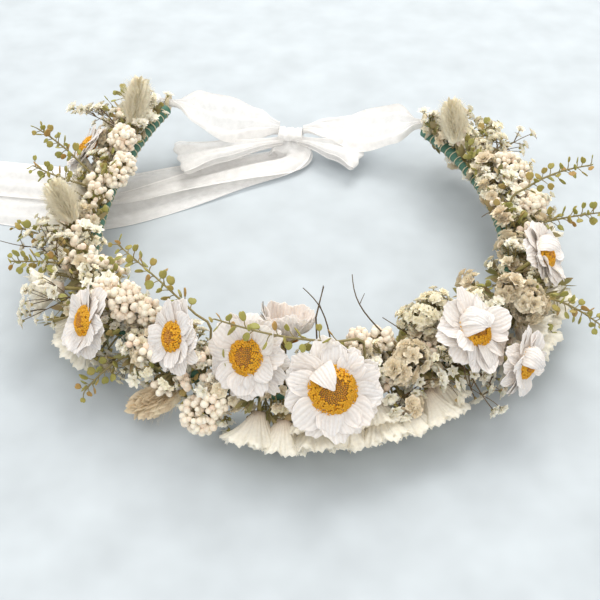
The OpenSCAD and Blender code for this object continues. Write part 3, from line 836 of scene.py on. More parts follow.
def make_materials():
    for build in (dried_tone, pleat_lines, chiffon_weave, wrap_lines):
        build()
    c = bpy.context.scene.crown_colours
    m = MATERIALS
    # In each papery material the next to last number is the amount of painted shade in its pleat grooves
    m["petal"] = papery("Petal", c.petal, c.petal_shade, (0.72, 0.60, 0.46), 7, 0.25, 0.25, 0.0003,
                        0.3, 0.30, 0.4)
    m["statice"] = papery("Statice", c.cream, c.tan, (0.55, 0.32, 0.18), 26, 0.3, 0.3, 0.0003, 0.3,
                          0.16, 0.65)
    m["ruffle"] = papery("Beige ruffle", (0.94, 0.86, 0.68), (0.70, 0.55, 0.36),
                         (0.52, 0.37, 0.20), 14, 0.6, 0.5, 0.0002, 0.25, 0.2, 0.4)
    m["breath"] = papery("Baby's breath", c.breath, (0.93, 0.84, 0.63), (0.86, 0.76, 0.50), 6, 0.3,
                         0.2, 0.0001, 0.35, 0.05, 0.15)
    m["yarrow"] = papery("Yarrow", (0.98, 0.93, 0.76), (0.90, 0.78, 0.52), (0.74, 0.62, 0.36), 6, 0.4,
                         0.3, 0.0001, 0.3, 0.08, 0.2)
    m["bud"] = mottled("Rice bud", c.bud, c.bud_blush, 0.75, 0.7, 300.0, 0.6, 0.0003, 0.15)
    m["disc"] = mottled("Centre floret", c.disc, c.disc_inner, 1.1, 0.5, 900.0, 0.6, 0.0002, 0.1)
    m["grass"] = mottled("Grass head", c.grass, (0.76, 0.66, 0.45), 0.6, 0.5, 500.0, 0.7, 0.0002, 0.2)
    m["pod"] = mottled("Pod", c.pod, c.pod_aged, 0.9, 0.5, 350.0, 0.5, 0.0002, 0.15)
    m["small leaf"] = mottled("Small leaf", (0.36, 0.35, 0.11), (0.45, 0.30, 0.12), 0.8, 0.5,
                              350.0, 0.6)
    m["stalk"] = mottled("Stalk", c.stalk, (0.34, 0.27, 0.13), 0.8, 0.6, 300.0, 0.6)
    m["dark stalk"] = mottled("Dark stalk", c.stalk_dark, (0.20, 0.14, 0.07), 0.8, 0.6, 300.0, 0.6)
    m["calyx"] = mottled("Calyx", (0.36, 0.34, 0.13), (0.42, 0.28, 0.13), 0.9, 0.5, 500.0, 0.6)
    # Dark olive-brown leaves; set deep in the filler they are partly foliage and partly painted shade in
    # the garland's gaps
    m["leaf"] = mottled("Leaf", (0.26, 0.25, 0.10), (0.40, 0.29, 0.15), 1.0, 0.5, 300.0, 0.6)
    m["thread"] = mottled("Thread", c.thread, (0.55, 0.47, 0.30), 0.4, 0.5, 900.0, 0.7)
    m["wheat"] = mottled("Wheat scale", (0.80, 0.68, 0.49), (0.52, 0.39, 0.25), 0.7, 0.5, 400.0, 0.6,
                         0.0002, 0.1)
    m["wire"] = mottled("Wire", (0.05, 0.09, 0.07), (0.12, 0.12, 0.10), 0.2, 0.6, 200.0, 0.45)
    m["tape"] = wrapped("Florist's tape", c.tape, 150.0)
    m["paper"] = wrapped("Wrapped paper", c.paper, 900.0)
    m["chiffon"] = chiffon_material("Chiffon", c.chiffon, RIBBON_WIDE, 0.66)
    m["chiffon gathered"] = chiffon_material("Gathered chiffon", c.chiffon, NO_SELVEDGE, 0.86)


class CROWN_OT_stage(bpy.types.Operator):
    """Camera, lights and the pale floor"""
    bl_idname = "crown.stage"
    bl_label = "Stage"

    def execute(self, context):
        scene = context.scene
        make_materials()
        camera = bpy.data.objects.new("Camera", bpy.data.cameras.new("Camera"))
        camera.data.sensor_width = 36
        camera.data.lens = 57.1
        camera.data.clip_start = 0.01
        camera.location = (0, -0.319, 0.271)
        camera.rotation_euler = (math.radians(48), 0, 0)
        scene.collection.objects.link(camera)
        scene.camera = camera
        scene.view_settings.view_transform = "Standard"

        world = bpy.data.worlds.new("Soft light")
        scene.world = world
        world.use_nodes = True
        back = world.node_tree.nodes["Background"]
        back.inputs["Color"].default_value = (1.0, 0.985, 0.96, 1)
        back.inputs["Strength"].default_value = 0.70
        for name, place, power, size, tone in (
                ("Window", (0.25, 0.95, 1.15), 17, 0.9, (1.0, 0.97, 0.92)),
                ("Top fill", (-0.5, 0.1, 1.2), 6, 1.2, (1.0, 0.98, 0.95)),
                ("Front fill", (0.2, -1.0, 0.8), 6, 1.2, (1.0, 0.97, 0.92))):
            light = bpy.data.lights.new(name, "AREA")
            light.energy = power
            light.size = size
            light.color = tone
            obj = bpy.data.objects.new(name, light)
            obj.location = place
            obj.rotation_euler = (-Vector(place)).to_track_quat("-Z", "Y").to_euler()
            scene.collection.objects.link(obj)

        bm = bmesh.new()
        bmesh.ops.create_grid(bm, x_segments=2, y_segments=2, size=3)
        mesh = bpy.data.meshes.new("Floor")
        bm.to_mesh(mesh)
        bm.free()
        floor = bpy.data.objects.new("Floor", mesh)
        mat, tree, shader = surface("Floor", 0.85, Specular_IOR_Level=0.2)
        c = context.scene.crown_colours.floor
        tone = use(tree, "Dried tone", {"Light": rgba(c), "Dark": rgba([min(1, 1.07 * x) for x in c]),
                                        "Spread": 0.3, "Mottle": 1.2, "Scale": 9.0})
        tree.links.new(tone["Colour"], shader.inputs["Base Color"])
        mesh.materials.append(mat)
        scene.collection.objects.link(floor)
        floor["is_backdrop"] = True
        return {"FINISHED"}


class CROWN_OT_hoop(bpy.types.Operator):
    """Taped hoop with its binding thread and paper eyes"""
    bl_idname = "crown.hoop"
    bl_label = "Hoop"

    def execute(self, context):
        for name, key in (("hoop_wire", "wire"), ("bound_stems", "stalk"), ("tape_front", "tape"),
                          ("tape_right_arm", "tape"), ("tape_left_arm", "tape"),
                          ("left_eye", "paper"), ("right_eye", "paper")):
            for slot in bpy.data.objects[name].material_slots:
                slot.material = MATERIALS[key]
        bunch = Bunch()
        rng = random.Random(11)
        pitch = context.scene.crown_shape.thread_pitch / MM
        before = 0.42 * QUARTER  # length of wound thread on the front, before each arm
        wound_r = TAPE_R + 0.22
        for side in (-1, 1):
            arm = ARMS[side][1]
            length = before + arm - 2
            points = []
            steps = int(length / pitch * 14)
            for k in range(steps + 1):
                s = QUARTER - before + length * k / steps
                t = side * (100 * s / QUARTER if s < QUARTER else 100 + 100 * (s - QUARTER) / arm)
                a = 2 * math.pi * length * k / steps / pitch + 0.25 * math.sin(s / 9)
                off = math.cos(a) * hoop_out(t) + math.sin(a) * Vector((0, 0, 1))
                points.append(hoop_pos(t) + wound_r * off)
            bunch.stem(points, 0.27, 0, 0.3)
            for _ in range(3):
                k = rng.randrange(len(points) // 2, len(points) - 20)
                end = points[k] + Vector((rng.uniform(-2, 2), rng.uniform(-2, 2), 3))
                bunch.stem(wander(rng, points[k], end, 0.3), (0.25, 0.1), 0, 0.6)
        crown_piece(bunch, "binding_thread_wound", ["thread"], ["binding_thread"])
        return {"FINISHED"}


class CROWN_OT_daisies(bpy.types.Operator):
    """Nine daisies with two rings of pleated petals and granular centres"""
    bl_idname = "crown.daisies"
    bl_label = "Daisies"

    def open_floret(self):
        bm = bmesh.new()
        bmesh.ops.create_cone(bm, segments=5, radius1=0.32, radius2=0.62, depth=1.0, cap_ends=True)
        for v in bm.verts:
            v.co.z += 0.5
            if v.co.z > 0.9:
                v.co.x *= 1.15
        bmesh.ops.poke(bm, faces=[f for f in bm.faces if f.normal.z > 0.9], offset=-0.25)
        return shape_of(bm)

    def closed_floret(self):
        bm = bmesh.new()
        bmesh.ops.create_uvsphere(bm, u_segments=6, v_segments=4, radius=0.5)
        bmesh.ops.scale(bm, verts=bm.verts, vec=(1, 1, 1.3))
        return shape_of(bm)

    def petals(self, rng, face, number, r, count):
        """Two rings of petals, and the petals folded back over the centre."""
        bunch = Bunch()
        root = 0.75 * (CENTRE_SHARE * r - 1)
        dome_r = CENTRE_SHARE * r * CENTRE_GROWTH.get(number, 1.0)
        width = 2 * math.pi * r * 0.62 / count * 2.0
        folds = FOLDED.get(number, ())
        for layer in (0, 1):
            n = count - 2 * layer
            for k in range(n):
                a = 360 / n * (k + 0.5 * layer) + rng.uniform(-8, 8)
                length = (r - root) * rng.uniform(0.86, 1.06) * (1 - 0.08 * layer)
                start = rng.uniform(2, 20) + 12 * layer
                end = rng.uniform(-38, 14) + 6 * layer
                inner = root
                if number == CUPPED:
                    start, end = rng.uniform(48, 66), rng.uniform(52, 92)
                    inner = dome_r * 1.05
                    length *= 1.12
                if layer and any(abs((a - f + 180) % 360 - 180) < 14 for f in folds):
                    continue
                shape = shape_of(petal_shape(rng, inner, length, width * rng.uniform(0.8, 1.1),
                                             start, end, rng.choice((3, 4, 5)),
                                             rng.uniform(-0.4, 0.4), rng.uniform(0.02, 0.26)))
                bunch.add(shape, face @ Matrix.Rotation(math.radians(a), 4, "Z")
                          @ Matrix.Translation((0, 0, 0.9 * layer - 0.5)), rng.uniform(0, 0.7))
        for a in folds:
            shape = shape_of(petal_shape(rng, dome_r * 1.04, (r - root) * 1.05, width * 0.92,
                                         rng.uniform(64, 74), rng.uniform(196, 208), 4, 0.25, 0.16,
                                         0.62, 0.35))
            bunch.add(shape, face @ Matrix.Rotation(math.radians(a), 4, "Z"), rng.uniform(0, 0.3))
        return bunch

    def florets(self, rng, bunch, face, dome_r, dome_h, florets):
        """Open florets round the rim of the dome and closed ones in its middle."""
        total = int(11.5 * dome_r ** 2 * 0.62)
        base = Matrix.Translation((0, 0, 0.6))
        for k in range(total):
            q = math.sqrt((k + 0.5) / total)
            a = k * GOLDEN_ANGLE
            lean = q * 0.85
            way = Vector((math.sin(lean) * math.cos(a), math.sin(lean) * math.sin(a), math.cos(lean)))
            outer = q > 0.52 + rng.uniform(-0.08, 0.08)
            z = dome_h * (1 - q * q) + 0.05
            p = Vector((dome_r * q * math.cos(a), dome_r * q * math.sin(a), z))
            size = rng.uniform(0.66, 0.86) * (1.0 if outer else 0.9)
            tint = rng.uniform(-0.1, 0.30) if outer else rng.uniform(0.45, 1.0)
            shape = florets[0] if outer and rng.random() < 0.7 else florets[1]
            tall = 1.35 if outer else 1.0
            bunch.add(shape, face @ base @ aimed(p, way, any_roll(rng), size)
                      @ Matrix.Diagonal((1, 1, tall, 1)), tint)

    def receptacle(self, hole, dome_r, dome_h):
        """Dome under the florets and the cup below it, spun from one outline."""
        outline = [(0.001, -2.6), (hole * 0.55, -2.6), (hole + 0.6, -1.5), (dome_r * 0.98, 1.0),
                   (dome_r * 0.8, 0.6 + dome_h * 0.30), (0.001, 0.6 + dome_h * 0.85)]
        bm = bmesh.new()
        verts = [bm.verts.new((x, 0, z)) for x, z in outline]
        edges = [bm.edges.new(pair) for pair in zip(verts, verts[1:])]
        bmesh.ops.spin(bm, geom=verts + edges, cent=(0, 0, 0), axis=(0, 0, 1), angle=2 * math.pi,
                       steps=28, use_merge=True, use_duplicate=False)
        return shape_of(closed(bm), 1)

    def bracts(self, rng, bunch, face, hole, bract, count=22):
        """Two rows of green bracts round the cup."""
        for k in range(count):
            row = k % 2
            a = 2 * math.pi * (k + rng.uniform(-0.2, 0.2)) / count
            p = Vector((hole * 0.5 * math.cos(a), hole * 0.5 * math.sin(a), -2.9 + 0.3 * row))
            way = Vector((math.cos(a), math.sin(a), 0.28 + 0.25 * row))
            bunch.add(bract, face @ aimed(p, way, math.pi / 2, 5.0 - 0.8 * row), rng.uniform(0, 1))

    def execute(self, context):
        rng = random.Random(5)
        thickness = context.scene.crown_shape.petal_thickness
        florets = self.open_floret(), self.closed_floret()
        bract = leaf_shape(0.35)
        for number, (place, turn, lean, r, count) in enumerate(DAISIES, 1):
            face = face_matrix(place, turn, lean)
            obj = crown_piece(self.petals(rng, face, number, r, count),
                              f"daisy_{number}_pleated_petals", ["petal"],
                              [f"daisy_{number}_petals"])
            thicken(obj, thickness, 1)
            hole = CENTRE_SHARE * r - 1
            dome_r = CENTRE_SHARE * r * CENTRE_GROWTH.get(number, 1.0)
            dome_h = 0.45 * dome_r
            centre = Bunch()
            self.florets(rng, centre, face, dome_r, dome_h, florets)
            centre.add(self.receptacle(hole, dome_r, dome_h), face, 0.5)
            self.bracts(rng, centre, face, hole, bract)
            end = face @ Vector((0, 0, -2.4))
            centre.stem(wander(rng, foot(place[0], end), end, 0.06), (0.75, 0.95), 1, 0.4)
            crown_piece(centre, f"daisy_{number}_granular_centre", ["disc", "calyx"],
                        [f"daisy_{number}_centre"])
        return {"FINISHED"}


# More frills between the funnels: station, distance outwards, height of the lowest rim point,
# turn, lean and rim radius
EXTRA_FRILLS = {
    "statice_front": [(-4, 17, 1, 0, -52, 10), (3, 14, 4, 3, -38, 10), (11, 17, 1, -4, -50, 10),
                      (18, 14, 3, 2, -36, 10), (25, 17, 1, 0, -48, 10), (36, 14, 2, 6, -40, 9)],
    "statice_right": [(60, 18, 1, 0, -45, 9), (72, 17, 1, 3, -50, 9.5), (66, 20, 5, 0, -20, 9),
                      (87, 17, 1, 0, -45, 9), (76, 19, 6, -4, -14, 9), (98, 15, 1, 0, -40, 8.5)],
    "statice_left": [(-70, 15, 1, 0, -45, 8.5), (-106, 14, 1, 0, -45, 8.5), (-88, 15, 12, 10, 8, 9),
                     (-128, 16, 12, -5, 10, 9), (-142, 18, 14, 0, 14, 9), (-158, 16, 14, 6, 20, 8.5)],
}


class CROWN_OT_statice(bpy.types.Operator):
    """Papery frilled funnels of statice"""
    bl_idname = "crown.statice"
    bl_label = "Statice"

    def frills(self, rng, bunch, matrix, rim, length, layers=4):
        """Frilled trumpets one inside another."""
        for layer in range(layers):
            shape = shape_of(frill_shape(rng, rim * (1.04 - 0.15 * layer),
                                         length * (1.0 - 0.03 * layer), 7 + 2 * layer, 0.10, 0.11,
                                         96, 6, fringe=0.045, power=1.15))
            bunch.add(shape, matrix, rng.uniform(0, 0.9))

    def funnel(self, rng, bunch, place, turn, lean, rim):
        t, out, up = place
        way = facing(t, turn, lean)
        if up == 0:
            up = rim * math.cos(math.radians(lean)) - hoop_pos(t).z
        throat = spot((t, out, up)) - FUNNEL_LEN * way
        self.frills(rng, bunch, aimed(throat, way, any_roll(rng)), rim, FUNNEL_LEN)
        bunch.stem(wander(rng, foot(t, throat), throat + way, 0.05), 0.7, 1, 0.5)
        for k in range(7):
            a = k * 0.9
            tip = throat + way * 7 + Vector((math.cos(a), math.sin(a), 0.3)) * 1.2
            bunch.stem([throat, tip], (0.2, 0.12), 1, 0.8)

    def extra(self, rng, bunch, t, out, low, turn, lean, rim, length=11):
        way = facing(t, turn + rng.uniform(-6, 6), lean)
        up = low + rim * math.cos(math.radians(lean)) - hoop_pos(t).z
        throat = spot((t, out, up)) - length * way
        self.frills(rng, bunch, aimed(throat, way, any_roll(rng)), rim, length)
        bunch.stem(wander(rng, foot(t, throat), throat + way, 0.05), 0.6, 1, 0.5)

    def execute(self, context):
        rng = random.Random(23)
        for name, funnels in STATICE.items():
            bunch = Bunch()
            for funnel in funnels:
                self.funnel(rng, bunch, *funnel)
            for frill in EXTRA_FRILLS[name]:
                self.extra(rng, bunch, *frill)
            obj = crown_piece(bunch, name + "_frills", ["statice", "calyx"], [name])
            thicken(obj, 0.00014)
        return {"FINISHED"}


def balls_of(balls):
    """Centre and radius of each ball of a head, with the balls that it must stay out of."""
    placed = [(spot(place), r) for place, r in balls]
    for number, (centre, r) in enumerate(placed):
        yield centre, r, placed[:number] + placed[number + 1:]


def head_stem(rng, bunch, balls):
    """Main stem from the tape to the first ball of a head."""
    centre = spot(balls[0][0])
    bunch.stem(wander(rng, foot(balls[0][0][0], centre), centre, 0.05), 0.8, 1, 0.5)


class CROWN_OT_rice_flower(bpy.types.Operator):
    """Clusters of round rice-flower buds"""
    bl_idname = "crown.rice_flower"
    bl_label = "Rice flower"

    def execute(self, context):
        rng = random.Random(31)
        bud = bud_shape()
        spacing = context.scene.crown_shape.bud_spacing / MM
        for name, balls in LUMPS.items():
            if not name.startswith("rice"):
                continue
            bunch = Bunch()
            for centre, r, avoid in balls_of(balls):
                for p, way in on_ball(rng, centre, r - 1.0, spacing, avoid):
                    size = rng.uniform(1.0, 1.6)
                    bunch.add(bud, aimed(p, way, any_roll(rng), size), rng.uniform(-0.1, 0.75))
                    bunch.stem([centre, p - way], (0.4, 0.3), 1, 0.3)
                for p, way in on_ball(rng, centre, r * 0.62, spacing * 1.1, avoid):
                    bunch.add(bud, aimed(p, way, any_roll(rng), rng.uniform(1.1, 1.5)),
                              rng.uniform(0.3, 1.0))
                    leaf = p + way * 0.5
                    bunch.stem([leaf, leaf + way * 1.2], (0.2, 0.1), 1, 0.8)
            head_stem(rng, bunch, balls)
            crown_piece(bunch, name + "_buds", ["bud", "stalk"], [name])
        return {"FINISHED"}


class CROWN_OT_small_florets(bpy.types.Operator):
    """Flat heads of tiny cream florets and beige ruffled heads"""
    bl_idname = "crown.small_florets"
    bl_label = "Yarrow and beige flowers"

    def execute(self, context):
        rng = random.Random(37)
        tiny = [ruffle_shape(rng, 3, 0, 1.0, 5) for _ in range(3)]
        big = [ruffle_shape(rng, 4, 0, 1.0, 6) for _ in range(4)]
        for name, balls in LUMPS.items():
            if name.startswith("rice"):
                continue
            beige = name.startswith("beige")
            shapes, inset, spacing, sizes = (
                (big, 1.8, 3.4, (2.2, 3.7)) if beige else (tiny, 0.9, 3.1, (1.4, 2.3)))
            bunch = Bunch()
            for centre, r, avoid in balls_of(balls):
                inner = r - inset
                for p, way in on_ball(rng, centre, inner, spacing, avoid):
                    shape = rng.choice(shapes)
                    p = p + way * rng.uniform(-1.6, 1.2)
                    size = rng.uniform(*sizes)
                    bunch.add(shape, aimed(p, way, any_roll(rng), size), rng.uniform(0, 0.9))
                    bunch.stem([centre, p], (0.35, 0.25), 1, rng.uniform(0.2, 0.7))
                if not beige:
                    for p, way in on_ball(rng, centre, inner * 0.72, 2.9, avoid):
                        bunch.add(rng.choice(tiny), aimed(p, way, 0, 1.5), rng.uniform(0.5, 1.0))
            head_stem(rng, bunch, balls)
            crown_piece(bunch, name + "_florets", ["ruffle" if beige else "yarrow", "stalk"],
                        [name])
        return {"FINISHED"}


class CROWN_OT_grass_heads(bpy.types.Operator):
    """Soft bunny tails and a scaly wheat ear"""
    bl_idname = "crown.grass_heads"
    bl_label = "Grass heads"

    def execute(self, context):
        rng = random.Random(41)
        scale = leaf_shape(0.34, 0, 0.5)
        hair = bristle_shape()
        hair_len = context.scene.crown_shape.hair_length / MM
        for name, (root, tip, r) in HEADS.items():
            a, b = spot(root), spot(tip)
            axis = b - a
            length = axis.length
            wheat = name == "wheat_ear"
            bunch = Bunch()
            head = aimed(a, axis)
            rows = 16 if wheat else 22
            for k in range(rows):
                s = (k + 0.5) / rows
                ring_r = max(0.5, (r - 1.6) * math.sin(math.pi * min(1, 0.04 + s * 0.94)) ** 0.75)
                n = max(4, int(ring_r * (2.4 if wheat else 3.4)))
                for j in range(n):
                    an = 2 * math.pi * (j + 0.5 * (k % 2) + rng.uniform(-0.15, 0.15)) / n
                    round_way = Vector((math.cos(an), math.sin(an), 0))
                    base = round_way * 0.55 * ring_r + Vector((0, 0, s * length * 0.9))
                    way = round_way * (0.6 if wheat else 0.75) + Vector((0, 0, 1))
                    size = rng.uniform(5.0, 6.4) if wheat else rng.uniform(4.0, 5.2)
                    bunch.add(scale, head @ aimed(base, way) @ Matrix.Rotation(an, 4, "Z")
                              @ Matrix.Scale(size, 4), rng.uniform(0, 0.9))
                    for _ in range(1 if wheat else 5):
                        lean = rng.uniform(0.5, 1.7)
                        way = round_way * lean + Vector((0, 0, rng.uniform(0.5, 1.1)))
                        hair_size = hair_len * rng.uniform(0.6, 1.15) * (1.1 if wheat else 1.0)
                        bunch.add(hair, head @ aimed(base + round_way * ring_r * 0.2, way)
                                  @ Matrix.Diagonal((9, 9, hair_size, 1)), rng.uniform(0, 0.8))
            start = foot(root[0], a)
            bunch.stem(wander(rng, start, a + 0.6 * axis, 0.05), (0.7, 0.6), 1, 0.5)
            crown_piece(bunch, name + ("_scales" if wheat else "_hairs"),
                        ["wheat" if wheat else "grass", "stalk"], [name])
        return {"FINISHED"}


BITS = {}


def make_bits():
    rng = random.Random(3)
    bm = bmesh.new()
    bmesh.ops.create_cone(bm, segments=6, radius1=0.12, radius2=0.36, depth=0.55, cap_ends=True)
    bmesh.ops.translate(bm, verts=bm.verts, vec=(0, 0, 0.15))
    BITS["calyx"] = shape_of(bm, 1)
    BITS["breath"] = [ruffle_shape(rng, 4, 0, 1.0, 6) for _ in range(5)]
    BITS["pod"] = pod_shape()
    BITS["filler pod"] = pod_shape(6)
    bm = bmesh.new()
    bmesh.ops.create_cone(bm, segments=5, radius1=0.1, radius2=0.34, depth=0.5, cap_ends=True)
    BITS["filler calyx"] = shape_of(bm, 6)


def breath_spray(rng, bunch, start, fork, tips, more=3):
    """Stem, fine branches and ruffled florets; materials 0 floret, 1 calyx, 2 dark stalk."""
    bunch.stem(wander(rng, start, fork, 0.06), (0.45, 0.35), 2, rng.uniform(0, 1))
    for tip in tips:
        ends = [(tip, rng.uniform(2.6, 3.3))]
        way = (tip - fork).normalized()
        for _ in range(more):
            p = tip - way * rng.uniform(1, 5) + jitter(rng, 5)
            p.z = max(p.z, 2.5)
            ends.append((p, rng.uniform(1.7, 2.7)))
        bend = wander(rng, fork, tip, 0.08)
        bunch.stem(bend, (0.28, 0.2), 2, rng.uniform(0, 1))
        for p, size in ends[1:]:
            bunch.stem(wander(rng, bend[3], p, 0.1, 4), (0.2, 0.15), 2, rng.uniform(0, 1))
        for p, size in ends:
            nod = Vector((rng.gauss(0, 0.5), rng.gauss(0, 0.5), rng.gauss(0.5, 0.5)))
            way = ((p - fork).normalized() + 0.5 * nod).normalized()
            spin = any_roll(rng)
            bunch.add(rng.choice(BITS["breath"]), aimed(p - way * size * 0.45, way, spin, size),
                      rng.uniform(0, 0.7))
            bunch.add(BITS["calyx"], aimed(p - way * size * 0.6, way, spin, size), rng.uniform(0, 1))


class CROWN_OT_babys_breath(bpy.types.Operator):
    """Sprays of baby's breath on dark thin stems"""
    bl_idname = "crown.babys_breath"
    bl_label = "Baby's breath"

    def execute(self, context):
        rng = random.Random(47)
        for name, forks in SPRAYS.items():
            bunch = Bunch()
            for fork, tips in forks:
                at = spot(fork)
                breath_spray(rng, bunch, foot(fork[0], at), at, [spot(tip) for tip in tips])
            crown_piece(bunch, name + "_florets", ["breath", "calyx", "dark stalk"],
                        [name])
        return {"FINISHED"}


class CROWN_OT_pennycress(bpy.types.Operator):
    """Sprigs of pennycress with flat round pods"""
    bl_idname = "crown.pennycress"
    bl_label = "Pennycress"

    def execute(self, context):
        rng = random.Random(53)
        for name, sprigs in SPRIGS.items():
            bunch = Bunch()
            for root, tip, count in sprigs:
                a, b = spot(root), spot(tip)
                start = foot(root[0], a)
                line = smooth_path([start, a] + wander(rng, a, b, 0.05)[1:], 3)
                bunch.stem(line, (0.55, 0.28), 1, 0.5)
                axis = b - a
                way = axis.normalized()
                side = way.cross(Vector((0, 0, 1))).normalized()
                lift = side.cross(way)
                total = int(count * 2.6)
                for k in range(total):
                    s = 0.2 + 0.8 * k / (total - 1)
                    base = a + axis * s
                    near = min(line, key=lambda p: (p - base).length)
                    an = k * 2.4
                    out = math.cos(an) * side + math.sin(an) * lift
                    stalk = (out + rng.uniform(0.3, 0.9) * way).normalized()
                    reach = rng.uniform(2.2, 4.2) * (1 - 0.35 * s)
                    end = near + stalk * reach
                    size = rng.uniform(1.25, 1.95) * (1.05 - 0.35 * s * (k > total - 4))
                    bunch.stem([near, near + stalk * reach * 0.5 + way * 0.2, end], (0.24, 0.18), 1, 0.6)
                    bunch.add(BITS["pod"], planted(rng, end, stalk, size),
                              rng.choice((0.0, 0.0, 0.1, 0.2, 0.3, 0.5, 1.0)))
            crown_piece(bunch, name + "_pods", ["pod", "stalk"], [name])
        return {"FINISHED"}


# Bare twigs that stand out of the garland: root and tip
TWIGS = [((9, -9, 15), (1, -22, 31)), ((5, -16, 22), (8, -21, 32)), ((25, -9, 15), (18, -22, 35)),
         ((-4, -8, 14), (-12, -18, 27)), ((36, -6, 8), (28, -17, 15)), ((40, 12, 6), (34, 25, 14)),
         ((104, -4, 8), (96, -13, 16)), ((-92, 14, 6), (-90, 34, 15))]
# Kinds of small sprig and how often each is used, for the front, the right and the left
KINDS = {
    "front": ("ruffle", "ruffle", "breath", "breath", "breath", "yarrow", "bud", "pods", "leaf"),
    "right": ("ruffle", "ruffle", "breath", "breath", "yarrow", "yarrow", "bud", "pods", "pods",
              "leaf"),
    "left": ("ruffle", "breath", "breath", "yarrow", "bud", "bud", "pods", "pods", "pods", "leaf"),
}
FRONT_END = 60  # station where the front's filler ends
# Distance from the hoop's line of the inner, middle and outer layers, and how near each may come
# to a daisy's face
LAYERS = (((4.5, 8.0), -2.5), ((8.0, 15.0), 1.0), ((15.0, 24.0), 1.5))
# Materials of the filler, in the order of the numbers in its shapes and stems
FILLER_KEYS = ("breath", "ruffle", "yarrow", "bud", "leaf", "stalk", "small leaf", "dark stalk")
STALK, TWIG = 5, 7


